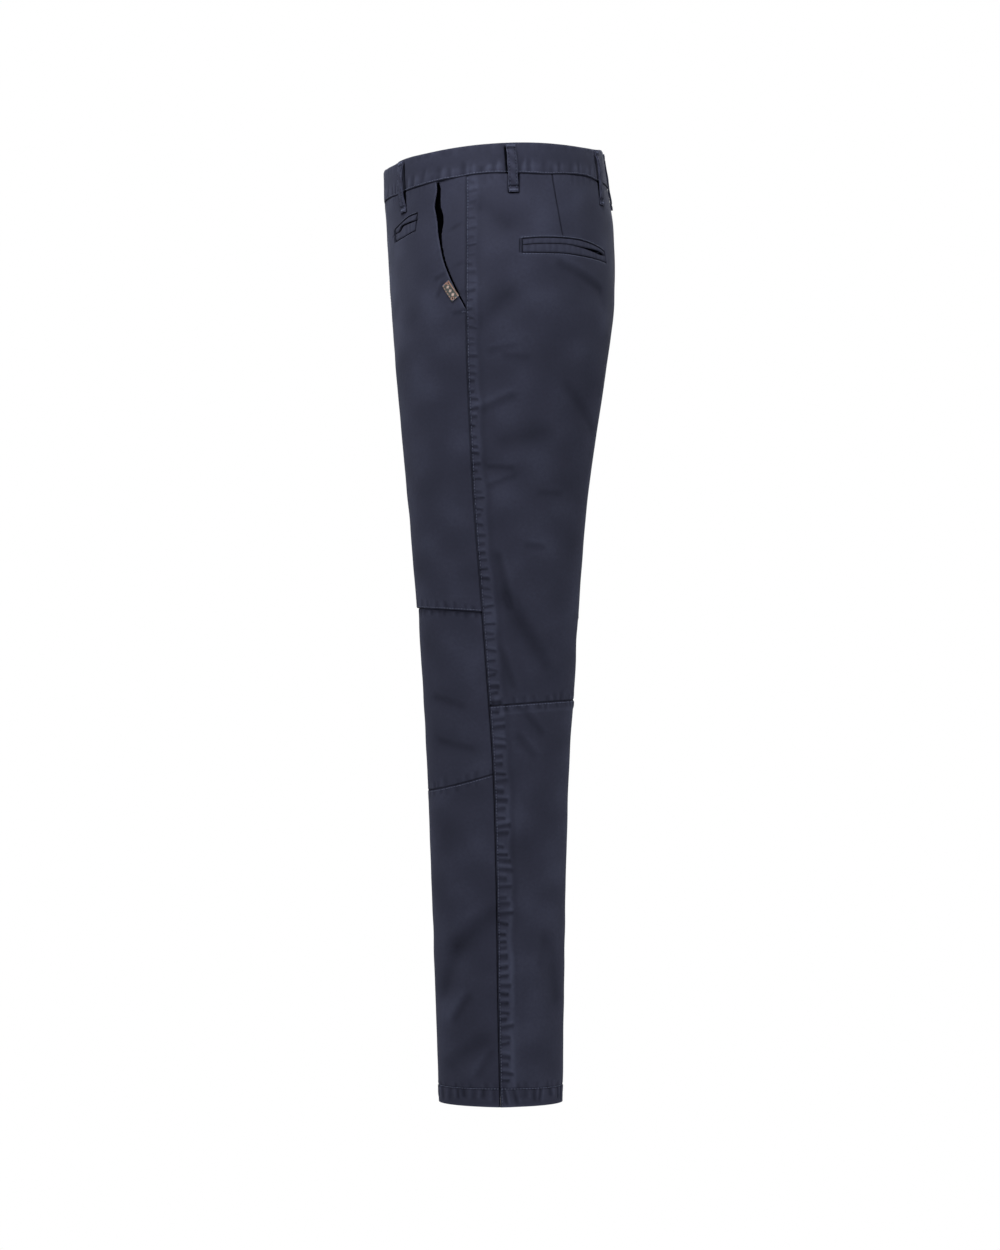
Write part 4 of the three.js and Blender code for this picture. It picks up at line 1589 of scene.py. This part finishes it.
@dataclass
class BackPanel(LegPanel):
    """Back of a leg, from the side seam to the centre back or inseam."""

    allowance_from: float = 0.6
    allowance_hip: float = 10.5
    allowance_shin: float = 14.5
    allowance_height: float = 0.6
    rungs_reach: float = 16.0  # the columns are finer this far behind the side seam

    def grid(self) -> tuple[Array, Array]:
        """Columns from the side seam to the centre back, on rows that bow with the seams."""
        level = self.levels()[:, None]
        half = SEAM_GAP / 2
        length = float(FORM.back_length(self.fine_at)) - SEAM_GAP
        longest = float(FORM.back_length(level).max()) - SEAM_GAP
        fine = (*self.fine_columns, Fine(0, self.rungs_reach, SIDE_SEAM_STEP[self.side]))
        share = stations(length, self.step * length / longest, fine) / length
        near = (half + share * (FORM.back_length(level) - SEAM_GAP)) / FORM.back_length(level)
        z = self.bowed(level, near)
        return half + share * (FORM.back_length(z) - SEAM_GAP), z

    def relief(self, s: Array, z: Array) -> tuple[Array, Array]:
        """Folds, the raised allowance behind the side seam with its puckers, and the seams' relief, with
        painted shade in the troughs and seam lines.
        """
        drape = DRAPES[self.side]
        folds, creases = drape.folds(s, z), drape.creases(s, z)
        length = FORM.back_length(z)
        # Painted shade in the troughs of creases and folds, a little paler on the creases' raised edges
        wear = 0.3 * np.clip(creases, -1, 1) + 0.06 * np.clip(folds, -2, 1)
        waver = 0.9 * np.sin(z / 17 + self.seed) + 0.6 * np.sin(z / 7.3)
        end = lerp(self.allowance_hip, self.allowance_shin, smooth((-z - 250) / 450)) + waver
        raised = smooth((s - self.allowance_from + 1.4) / 3) * (1 - smooth((s - end + 2) / 4))
        strength = lerp(0.5, 1.0, smooth((-z - 60) / 240)) + 0.25 * smooth((-z - 660) / 120)
        pulled = sum(rungs.relief(z, s * 14.5 / end) for rungs in RUNGS[self.side]) * strength
        out = folds + creases + self.allowance_height * raised + pulled
        # Painted shade in the puckers' troughs, beside the allowance and in the side seam's groove; paler on
        # the puckers' ridges and the raised allowance where rubbed, and in a band beside the allowance low
        # on the shin
        wear = wear + 0.45 * np.clip(pulled, -0.9, 0.4) + 0.09 * bump(s - end - 0.6, 1.8) * strength
        wear = wear + 0.12 * raised * strength
        wear = wear + 0.14 * bump(s - end - 5, 3.5) * smooth((-z - 830) / 90)
        wear = wear - 0.1 * bump(s - end - 4.5, 3.0) * strength - 0.42 * bump(s - 1.3, 1.2)
        seams, seam_wear_and_shade = self.seam_relief(s, z, length)
        inner = length - s
        deep = np.where(z > CROTCH, 1.0, 0.8)
        seams = seams - deep * 0.8 * bump(inner, 1.2) - 0.25 * bump(s, 0.5)
        # Painted shade at the centre back seam and inseam
        seam_wear_and_shade = seam_wear_and_shade - 0.6 * bump(inner, 1.3)
        seams = seams + Puckers(BAND_BOTTOM, HEM, 11.5, 0.45, 12, self.seed + 5).relief(z, inner)
        if self.top is WAIST_SEAM:
            down = np.clip((BAND_BOTTOM - z) / (BAND_BOTTOM - DART_BOTTOM), 0, 1)
            dart = DART_S0 + (DART_S1 - DART_S0) * down**DART_POWER
            on = smooth((z - DART_BOTTOM) / 3)
            seams = seams - on * 0.5 * bump(s - dart, 0.7) + on * 0.15 * bump(s - dart - 2.4, 1.6)
            # Painted shade in the dart's fold
            seam_wear_and_shade = seam_wear_and_shade - on * 0.95 * bump(s - dart, 0.7)
        seams, seam_wear_and_shade = self.let_in(s, z, seams, seam_wear_and_shade)
        return out + seams, wear + seam_wear_and_shade


# Puckers of the side seam's allowance: fine on the thigh and broader on the shin
RUNGS = {
    side: (
        Puckers(
            BAND_BOTTOM - 4, -560, 9.6, 1.05, 15.5, 40 + side.value,
            width=1.6, begin=1.2, fade=0.3, grow=0.3, uneven=0.22,
        ),
        Puckers(
            -560, HEM_STITCH + 3, 9.4, 1.1, 15.5, 60 + side.value,
            width=2.2, begin=1.6, fade=0.22, grow=0.5, uneven=0.2,
        ),
    )
    for side in Side
}
# The back dart: distance from the side seam at the waist and at its foot, how it bends, its foot's height
DART_S0 = 96.1
DART_S1 = 109.4
DART_POWER = 1.2
DART_BOTTOM = -85.5


@dataclass
class Waistband(FormPiece):
    """Half of the waistband. The left half laps over the centre front, the right runs on under it."""

    def relief(self, s: Array, z: Array) -> tuple[Array, Array]:
        """Puckers rising from the lower edge, edges that roll in, dents beside the loops, the fly's dip;
        with painted shade in the puckers and along the lower edge, and painted shadow beside the loops.
        """
        from_centre = s + FORM.front_length(z)
        above = z - BAND_BOTTOM
        low = Puckers(-30, 400, 12.5, 0.6, 17, 70 + self.side.value, width=3.0, begin=2.4, fade=0.5)
        high = Puckers(-30, 400, 14.0, 0.25, 12, 80 + self.side.value, width=3.4, begin=1.0)
        pulled = low.relief(from_centre, above) + high.relief(from_centre, BAND_TOP - z)
        slow = 0.3 * np.sin(s / 23.0 + 1) * np.sin(z / 19.0 + s / 61)
        out = BAND_PROUD + pulled + slow - 0.9 * bump(above, 0.8) - 0.5 * bump(BAND_TOP - z, 1.0)
        patches = np.sin(s / 4.3 + 1.7 * np.sin(s / 11)) * np.sin(s / 29 + 0.6)
        # Painted shade in the puckers' troughs and along the lower edge; paler at the top edge where rubbed,
        # and in uneven patches
        wear = 0.5 * np.clip(pulled, -0.7, 0.4) - 0.9 * bump(above, 0.75) + 0.1 * bump(BAND_TOP - z, 2.0)
        wear = wear + (0.08 + 0.1 * patches) * bump(above - 7.5, 4) - 0.08 * bump(above - 19, 6)
        for plan in LOOPS.values():
            edge = s - lerp(plan.top, plan.foot, (BAND_TOP - z) / 55) - plan.lifted * LOOP_WIDTH / 2
            held = smooth((14 - z) / 5)
            out = out - 0.4 * plan.slack * bump(edge, 1.8) * held
            # Painted shadow on the band beside each loop's lifted edge, deeper the slacker the loop
            wear = wear - 0.7 * plan.slack * bump(edge - 0.4 * plan.lifted, 1.4) * held
        if self.side is Side.RIGHT:
            out = out - FLY.band_dip * FLY.dip_share(from_centre)
        return out, wear

    def build(self, finishes: Finishes) -> Piece:
        """Makes the half.

        Args:
            finishes: The garment's materials.

        Returns:
            The piece.
        """
        bottom = BAND_BOTTOM + SEAM_GAP / 2
        level = BAND_TOP - stations(BAND_TOP - bottom, 1.3)
        past = FLY.lap if self.side is Side.LEFT else FLY.underlap
        total = (FORM.front_length(level) + FORM.back_length(level) - SEAM_GAP / 2 + past)[:, None]
        reference = float(total.max())
        across = stations(reference, BAND_STEP[self.side]) / reference * total
        z = np.broadcast_to(level[:, None], across.shape)
        s = across - past - FORM.front_length(z)
        out, wear = self.relief(s, z)
        made = cloth_shell(f"waistband_cloth_{self.side.word}", self.side, s, z, out, BAND_WALL, wear)
        finish_piece(made, finishes.twill, [f"waistband_{self.side.word}"])
        return Piece(made, float(np.ptp(s, axis=1).max()), BAND_TOP - BAND_BOTTOM, flat_area(s, z))


@dataclass
class BeltLoop:
    """A strip sewn flat at both ends, standing off the waistband between them."""

    side: Side
    name: str
    plan: LoopPlan
    top_z: float = 14.5
    row: float = 0.68  # a row of stitches' place, as a share of the half width
    rows: int = 61  # rows of its grid

    def _stations(self) -> tuple[Array, Array]:
        """Heights down the loop and how far it stands out at each."""
        on_band = BAND_PROUD + GAP
        slack, bottom = self.plan.slack, self.plan.bottom
        z = [self.top_z, self.top_z - 4, self.top_z - 9, -6, BAND_BOTTOM - 4]
        z += [bottom + 9, bottom + 6.5, bottom]
        out = [on_band, on_band, on_band + slack, on_band + slack + 0.4]
        out += [on_band + slack - 0.4, on_band, GAP, GAP]
        return np.array(z), np.array(out)

    def relief(self, across: Array, z: Array) -> Array:
        """Height over the form: its stations joined by straight lines, lightly rounded, plus the wall.

        Args:
            across: -1 to 1 over the loop's width.
            z: Height.

        Returns:
            The outer face's move out.
        """
        heights, outs = self._stations()
        base = sum(np.interp(-(z + move), -heights, outs) for move in (-1.5, 0, 1.5)) / 3
        seed = self.plan.top * 0.37
        wave = 0.16 * np.sin(z / 2.9 + seed) * np.abs(across) ** 2 * np.sign(across)
        side_on = np.abs(across)
        channel = 0.3 * (1 - bump(side_on - self.row, 0.13)) - 0.5 * smooth((side_on - 0.84) / 0.16)
        middle = smooth((self.top_z - 3 - z) / 6) * smooth((z - self.plan.bottom - 8) / 8)
        twist = 0.18 * self.plan.slack * self.plan.lifted * across * middle
        fold = 0.55 * bump(z - self.plan.bottom - 6.2, 0.8) + 0.4 * bump(z - self.top_z + 5.5, 0.8)
        return base + LOOP_WALL + wave + channel + twist - fold - 0.2

    def middle(self, z: Array) -> Array:
        """Distance of the loop's middle from the side seam."""
        return lerp(self.plan.top, self.plan.foot, (self.top_z - z) / (self.top_z - self.plan.bottom))

    def point(self, across: Array, z: Array) -> Array:
        """Points of the outer face, by share of the half width and height."""
        across, z = np.broadcast_arrays(np.asarray(across, float), np.asarray(z, float))
        s = self.middle(z) + across * LOOP_WIDTH / 2
        return FORM.place(self.side, s, z, self.relief(across, z))

    def build(self, finishes: Finishes, sewing: Sewing) -> list[bpy.types.Object]:
        """Makes the loop, its two rows of stitches and its bartacks.

        Args:
            finishes: The garment's materials.
            sewing: Makes the stitches.

        Returns:
            The pieces.
        """
        bottom = self.plan.bottom
        level = lerp(self.top_z, bottom, np.linspace(0, 1, self.rows))[:, None]
        half = np.array([0, 0.2, 0.4, 0.55, 0.63, 0.7, 0.78, 0.87, 0.94, 1])
        across = np.concatenate([-half[:0:-1], half])[None, :]
        z = np.broadcast_to(level, (self.rows, across.shape[1]))
        waver = 1 + 0.035 * np.sin(level / 3.7 + self.plan.top)
        s = self.middle(z) + across * waver * LOOP_WIDTH / 2
        across = np.broadcast_to(across, z.shape)
        out = self.relief(across, z)
        side_on = np.abs(across)
        # Paler at the edges and top where rubbed; painted shade along the stitch channels and in the folds
        # near the top and foot; a slight uneven tone
        wear = 0.25 * smooth((side_on - 0.86) / 0.14) - 0.55 * bump(side_on - self.row, 0.09)
        wear = wear + 0.25 * bump(z - self.top_z, 1.2) - 0.9 * bump(z - bottom - 6.2, 0.9)
        wear = wear - 0.5 * bump(z - self.top_z + 5.5, 0.9) + 0.12 * np.sin(z / 2.1 + across * 2)
        under = np.where(z > BAND_BOTTOM - 3, BAND_PROUD + 0.1, 0.15)
        wall = LOOP_WALL if self.plan.lifted else np.maximum(LOOP_WALL, out - under)
        made = cloth_shell(f"{self.name}_cloth", self.side, s, z, out, wall, wear)
        finish_piece(made, finishes.twill, [self.name])
        z_path = np.linspace(self.top_z - 3, bottom + 2, 20)
        runs = []
        for row in (-self.row, self.row):
            count = int(np.ptp(z_path) / sewing.PITCH)
            centre = np.linspace(z_path[0], z_path[-1], count)
            reach = sewing.LENGTH / 2
            runs.append((self.point(row, centre + reach), self.point(row, centre - reach)))
        for height in (self.top_z - 2.2, bottom + 2.4):
            t = np.linspace(-0.85, 0.85, 15)
            runs.append((self.point(t, height + 0.9), self.point(t, height - 0.9)))
        return [made, sewing.sew(f"{self.name}_stitches", runs, 0.13)]


@dataclass
class PocketTab:
    """A woven tab sewn into the left pocket's edge: a broken border, three lozenges and two dark pins."""

    panel: FrontPanel
    top: tuple[float, float] = (-24.3, -131.0)
    bottom: tuple[float, float] = (-11.6, -148.7)
    width: float = 10.3
    wall: float = 0.9

    def _figure(self, along: Array, across: Array) -> Array:
        """The woven figure, in millimetres from the tab's middle.

        Args:
            along: Distance down the tab.
            across: Distance towards the pocket.

        Returns:
            0.1 the field, 0.5 a lozenge, 1 the border and 0 a pin.
        """
        half = math.hypot(self.bottom[0] - self.top[0], self.bottom[1] - self.top[1]) / 2
        edge = np.minimum(half - np.abs(along), self.width / 2 - np.abs(across))
        dashes = np.sin(2 * math.pi * along / 3.6) + np.sin(2 * math.pi * across / 3.4) > -0.9
        figure = np.full(edge.shape, 0.1)
        for centre in (-5.2, 0.0, 5.2):
            figure = np.where(np.abs(along - centre) / 1.9 + np.abs(across) / 2.3 < 1, 0.5, figure)
        figure = np.where((edge > 0.5) & (edge < 1.35) & dashes, 1.0, figure)
        for sign in (-1, 1):
            away = np.hypot(along - sign * (half - 2.6), across + sign * (self.width / 2 - 2.6))
            figure = np.where(away < 1.1, 0.0, np.where(away < 1.8, 1.0, figure))
        return figure

    def build(self, finishes: Finishes, sewing: Sewing) -> list[bpy.types.Object]:
        """Makes the tab and the bars that hold its ends."""
        along = np.linspace(0, 1, 73)[:, None]
        across = np.linspace(-0.5, 0.5, 37)[None, :]
        ds, dz = self.bottom[0] - self.top[0], self.bottom[1] - self.top[1]
        length = math.hypot(ds, dz)
        s = self.top[0] + ds * along - dz / length * self.width * across
        z = self.top[1] + dz * along + ds / length * self.width * across
        out = self.panel.relief(s, z)[0] + GAP + self.wall
        figure = self._figure((along - 0.5) * length, across * self.width)
        out = out - 0.35 * (figure < 0.05)
        made = cloth_shell("pocket_tab_cloth", Side.LEFT, s, z, out, self.wall, figure)
        finish_piece(made, finishes.tab, ["pocket_tab"])

        def on_tab(at_s: Array, at_z: Array) -> Array:
            """Points of the tab's face."""
            return FORM.place(Side.LEFT, at_s, at_z, self.panel.relief(at_s, at_z)[0] + GAP + self.wall)

        bars = []
        for t in (0.015, 0.985):
            for a in (-0.3, 0.3):
                at = (self.top[0] + ds * t - dz / length * self.width * a,
                      self.top[1] + dz * t + ds / length * self.width * a)
                bars.append(sewing.bar(on_tab, *at, -dz / length * 0.9, ds / length * 0.9, 1.2))
        return [made, sewing.sew("pocket_tab_stitches", bars, 0.22)]


class Trousers:
    """The whole garment, built piece by piece."""

    HEM_THREAD = 0.34
    SEAM_THREAD = 0.24
    IN = 1.9  # distance of a row of stitches from its seam

    def __init__(self) -> None:
        """Builds the finishes and the sewing kit."""
        self.finishes = Finishes()
        self.sewing = Sewing(self.finishes)
        self.sheets: dict[str, Piece] = {}

    def build(self) -> None:
        """Builds both sides and the front opening, then calls each sheet's declare, which does nothing."""
        for side in Side:
            self._side(side)
        for name, piece in self.sheets.items():
            band = name.startswith("waistband")
            rests = [] if band else [f"waistband_cloth_{name.rsplit('_', 1)[1]}"]
            piece.declare(Held.STRETCHED if band else Held.HUNG, rests)

    def _side(self, side: Side) -> None:
        """Builds one half of the garment."""
        word = side.word
        band = Waistband(side)
        coin = COIN_POCKET if side is Side.LEFT else None
        coin_columns = (Fine(-127, -120, 0.6), Fine(-106, -99, 1.0), Fine(-73, -68, 0.6))
        fronts = [
            FrontPanel(
                side, "front_upper", WAIST_SEAM, FRONT_KNEE, 100, pocket=coin, fine_at=-60.0,
                fine_rows=(Fine(-46, -77, 0.8),) if coin else (),
                fine_columns=coin_columns if coin else (),
            ),
            FrontPanel(side, "front_knee", FRONT_KNEE, FRONT_SHIN, 200, fine_at=-560.0),
            FrontPanel(side, "front_lower", FRONT_SHIN, HEM_EDGE, 300, fine_at=-700.0),
        ]
        backs = [
            BackPanel(
                side, "back_upper", WAIST_SEAM, BACK_KNEE, 400, pocket=BACK_POCKET,
                fine_rows=(Fine(-84, -108, 0.8),),
                fine_columns=(Fine(56, 63, 0.7), Fine(94, 111, 1.0), Fine(188, 196, 0.8)),
            ),
            BackPanel(side, "back_lower", BACK_KNEE, HEM_EDGE, 500, fine_at=-650.0),
        ]
        self.sheets[f"waistband_{word}"] = band.build(self.finishes)
        for panel in fronts + backs:
            self.sheets[f"{panel.name}_{word}"] = panel.build(self.finishes)
        self.sheets[f"pocket_facing_{word}"] = HIP_POCKET.facing(side, self.finishes)
        front, back = self.sheets[f"front_upper_{word}"], self.sheets[f"back_upper_{word}"]
        back.sewn += BACK_POCKET.build(side, backs[0], self.finishes, self.sewing)
        if coin:
            front.sewn += coin.build(side, fronts[0], self.finishes, self.sewing)
            front.sewn += PocketTab(fronts[0]).build(self.finishes, self.sewing)
            self._front_opening(fronts[0])
        loops = [(f"belt_loop_{where}_{word}", plan) for where, plan in LOOPS.items()]
        if side is Side.LEFT:
            middle = float(FORM.back_length(np.array(0.0)))
            loops.append(("belt_loop_centre_back", LoopPlan(middle, middle, CENTRE_LOOP_BOTTOM, 0.1, 0)))
        for name, plan in loops:
            self.sheets[f"waistband_{word}"].sewn += BeltLoop(side, name, plan).build(
                self.finishes, self.sewing
            )
        self._seam_stitches(side, band, fronts, backs)

    def _seam_stitches(
        self, side: Side, band: Waistband, fronts: list[FrontPanel], backs: list[BackPanel]
    ) -> None:
        """Sews the side seam, waist, pocket foot, knee seams, hem and centre seams of one side.

        Args:
            side: Which half of the garment.
            band: The waistband's half.
            fronts: Front panels from the top down.
            backs: Back panels from the top down.
        """
        sew, word = self.sewing, side.word
        back_upper, back_lower = self.sheets[f"back_upper_{word}"], self.sheets[f"back_lower_{word}"]
        upper_z = np.linspace(BAND_BOTTOM - 1.5, BACK_KNEE.z + 1.5, 200)
        lower_z = np.linspace(BACK_KNEE.z - 1.5, HEM + 1, 200)
        back_upper.sewn.append(
            sew.sew(f"side_seam_stitches_upper_{word}", [sew.run(backs[0].point, self.IN, upper_z)], 0.2)
        )
        back_lower.sewn.append(
            sew.sew(f"side_seam_stitches_lower_{word}", [sew.run(backs[1].point, self.IN, lower_z)], 0.22)
        )
        front = float(FORM.front_length(np.array(BAND_BOTTOM)))
        back = float(FORM.back_length(np.array(BAND_BOTTOM)))
        past = FLY.lap - 2 if side is Side.LEFT else -4
        s = np.linspace(-front - past, back - 1, 300)
        self.sheets[f"waistband_{word}"].sewn.append(
            sew.sew(f"waistband_stitches_{word}", [sew.run(band.point, s, BAND_BOTTOM + 2.0)], 0.2)
        )
        foot = [sew.bar(fronts[0].point, -1.8, HIP_POCKET.bottom - 1, 3.0, 0.6)]
        self.sheets[f"front_upper_{word}"].sewn.append(sew.sew(f"hip_pocket_stitches_{word}", foot, 0.1))
        self._across(fronts[0], FRONT_KNEE, self.IN, "front_knee_seam_stitches", -1)
        self._across(fronts[2], FRONT_SHIN, -self.IN, "front_shin_seam_stitches", -1)
        self._across(backs[1], BACK_KNEE, -self.IN, "back_knee_seam_stitches", 1)
        self._across(fronts[2], Seam(HEM_STITCH, 0), 0.0, "front_hem_stitches", -1)
        self._across(backs[1], Seam(HEM_STITCH, 0), 0.0, "back_hem_stitches", 1)
        z = np.linspace(BAND_BOTTOM - 1.5, CROTCH + 12, 100)
        rows = [sew.run(backs[0].point, FORM.back_length(z) - self.IN, z)]
        if side is Side.LEFT:
            rows.append(sew.run(backs[0].point, FORM.back_length(z) - 7.5, z))
        back_upper.sewn.append(sew.sew(f"centre_back_stitches_{word}", rows))

    def _across(self, panel: LegPanel, seam: Seam, move: float, name: str, way: int) -> None:
        """Sews a row along a seam across the leg.

        Args:
            panel: The panel that carries the stitches.
            seam: The seam.
            move: Distance of the row over the seam.
            name: The piece's name, without its side.
            way: 1 on a back and -1 on a front.
        """
        length = FORM.back_length if way > 0 else FORM.front_length
        share = np.linspace(0.004, 0.996, 160)
        z = seam_height(seam, share) + move
        s = way * share * length(z)
        word = panel.side.word
        radius = self.HEM_THREAD if "hem" in name else self.SEAM_THREAD
        made = self.sewing.sew(f"{name}_{word}", [self.sewing.run(panel.point, s, z)], radius)
        self.sheets[f"{panel.name}_{word}"].sewn.append(made)

    def _front_opening(self, panel: FrontPanel) -> None:
        """Sews the fly's curved row, its edge and the bars at its foot, on the left front."""
        z = np.linspace(BAND_BOTTOM - 1.5, FLY.stitch_turn, 60)
        turn = np.linspace(0, math.pi / 2, 30)[1:]
        drop = FLY.stitch_turn - FLY.stitch_end
        z = np.concatenate([z, FLY.stitch_turn - drop * np.sin(turn)])
        away = np.concatenate([np.full(60, FLY.stitch_in), FLY.stitch_in * np.cos(turn)])
        s = -FORM.front_length(z) + away
        rows = [self.sewing.run(panel.point, s[:-1], z[:-1])]
        z = np.linspace(BAND_BOTTOM - 1.5, FLY.bottom + 26, 80)
        rows.append(self.sewing.run(panel.point, -FORM.front_length(z) - 3.2, z))
        z = np.linspace(FLY.stitch_end - 2, CROTCH + 12, 30)
        rows.append(self.sewing.run(panel.point, -FORM.front_length(z) + self.IN, z))
        foot = float(FORM.front_length(np.array(FLY.stitch_end)))
        rows.append(self.sewing.bar(panel.point, -foot + 5, FLY.stitch_end + 3, 3.4, 1.6))
        self.sheets["front_upper_left"].sewn.append(self.sewing.sew("fly_stitches", rows))


class Studio:
    """A plain pale floor well below the hem, white surroundings and large soft lights."""

    CAMERA = (4.2, 0.00336, -0.4984)
    LENS = 108.0
    FLOOR_Z = -1.5
    FLOOR_HALF = 60.0
    WORLD_LIGHT = 0.14
    LIGHTS = (
        ("front_softbox", (1.1, -1.5, -1.05), (0.1, 0.0, -0.8), 0.9, 13.0),
        ("back_softbox", (1.0, 1.6, -1.05), (0.1, 0.0, -0.8), 0.9, 15.5),
        ("top_softbox", (0.65, -0.15, 0.62), (0.18, 0.0, -0.15), 0.5, 10.8),
        ("far_softbox", (-2.4, 0.2, 0.8), (0.0, 0.0, -0.4), 1.8, 40.0),
    )

    def build(self) -> None:
        """Builds the camera, world, floor and lights."""
        self._camera()
        self._world()
        self._floor()
        for name, place, target, size, power in self.LIGHTS:
            lamp = bpy.data.lights.new(name, "AREA")
            lamp.shape, lamp.size, lamp.energy = "SQUARE", size, power
            made = bpy.data.objects.new(name, lamp)
            made.location = place
            made.rotation_euler = (Vector(target) - Vector(place)).to_track_quat("-Z", "Y").to_euler()
            bpy.context.scene.collection.objects.link(made)
        bpy.context.scene.view_settings.view_transform = "Standard"

    def _camera(self) -> None:
        """The photograph's view: level, along -X, from the wearer's left."""
        data = bpy.data.cameras.new("camera")
        data.lens, data.sensor_width = self.LENS, 36.0
        camera = bpy.data.objects.new("camera", data)
        camera.location = self.CAMERA
        camera.rotation_euler = (math.pi / 2, 0, math.pi / 2)
        bpy.context.scene.collection.objects.link(camera)
        bpy.context.scene.camera = camera

    def _world(self) -> None:
        """White where it is seen, dimmer as a light, so that the softboxes model the folds."""
        world = bpy.data.worlds.new("studio")
        bpy.context.scene.world = world
        world.use_nodes = True
        tree = world.node_tree
        tree.nodes.clear()
        seen = add_node(tree, "LightPath").outputs["Is Camera Ray"]
        light = add_node(tree, "Background", {"Color": (1, 1, 1, 1), "Strength": self.WORLD_LIGHT})
        backdrop = add_node(tree, "Background", {"Color": (1, 1, 1, 1), "Strength": 1.0})
        mixed = add_node(tree, "MixShader", {0: seen, 1: light.outputs[0], 2: backdrop.outputs[0]})
        add_node(tree, "OutputWorld", {"Surface": mixed.outputs[0]})

    def _floor(self) -> None:
        """A matt white floor that is seen as bright as the surroundings."""
        h, z = self.FLOOR_HALF, self.FLOOR_Z
        mesh = bpy.data.meshes.new("floor")
        mesh.from_pydata([(-h, -h, z), (h, -h, z), (h, h, z), (-h, h, z)], [], [(0, 1, 2, 3)])
        floor = bpy.data.objects.new("floor", mesh)
        bpy.context.scene.collection.objects.link(floor)
        material, tree = new_material("matt_white_floor")
        seen = add_node(tree, "LightPath").outputs["Is Camera Ray"]
        paint = add_node(tree, "BsdfDiffuse", {"Color": (0.8, 0.8, 0.8, 1)})
        glow = add_node(tree, "Emission", {"Color": (1, 1, 1, 1), "Strength": 1.0})
        mixed = add_node(tree, "MixShader", {0: seen, 1: paint.outputs[0], 2: glow.outputs[0]})
        add_node(tree, "OutputMaterial", {"Surface": mixed.outputs[0]})
        mesh.materials.append(material)


def main() -> None:
    """Builds the studio and the garment."""
    logging.basicConfig(level=logging.INFO, format="%(name)s: %(message)s")
    Studio().build()
    Trousers().build()


if __name__ == "__main__":
    main()
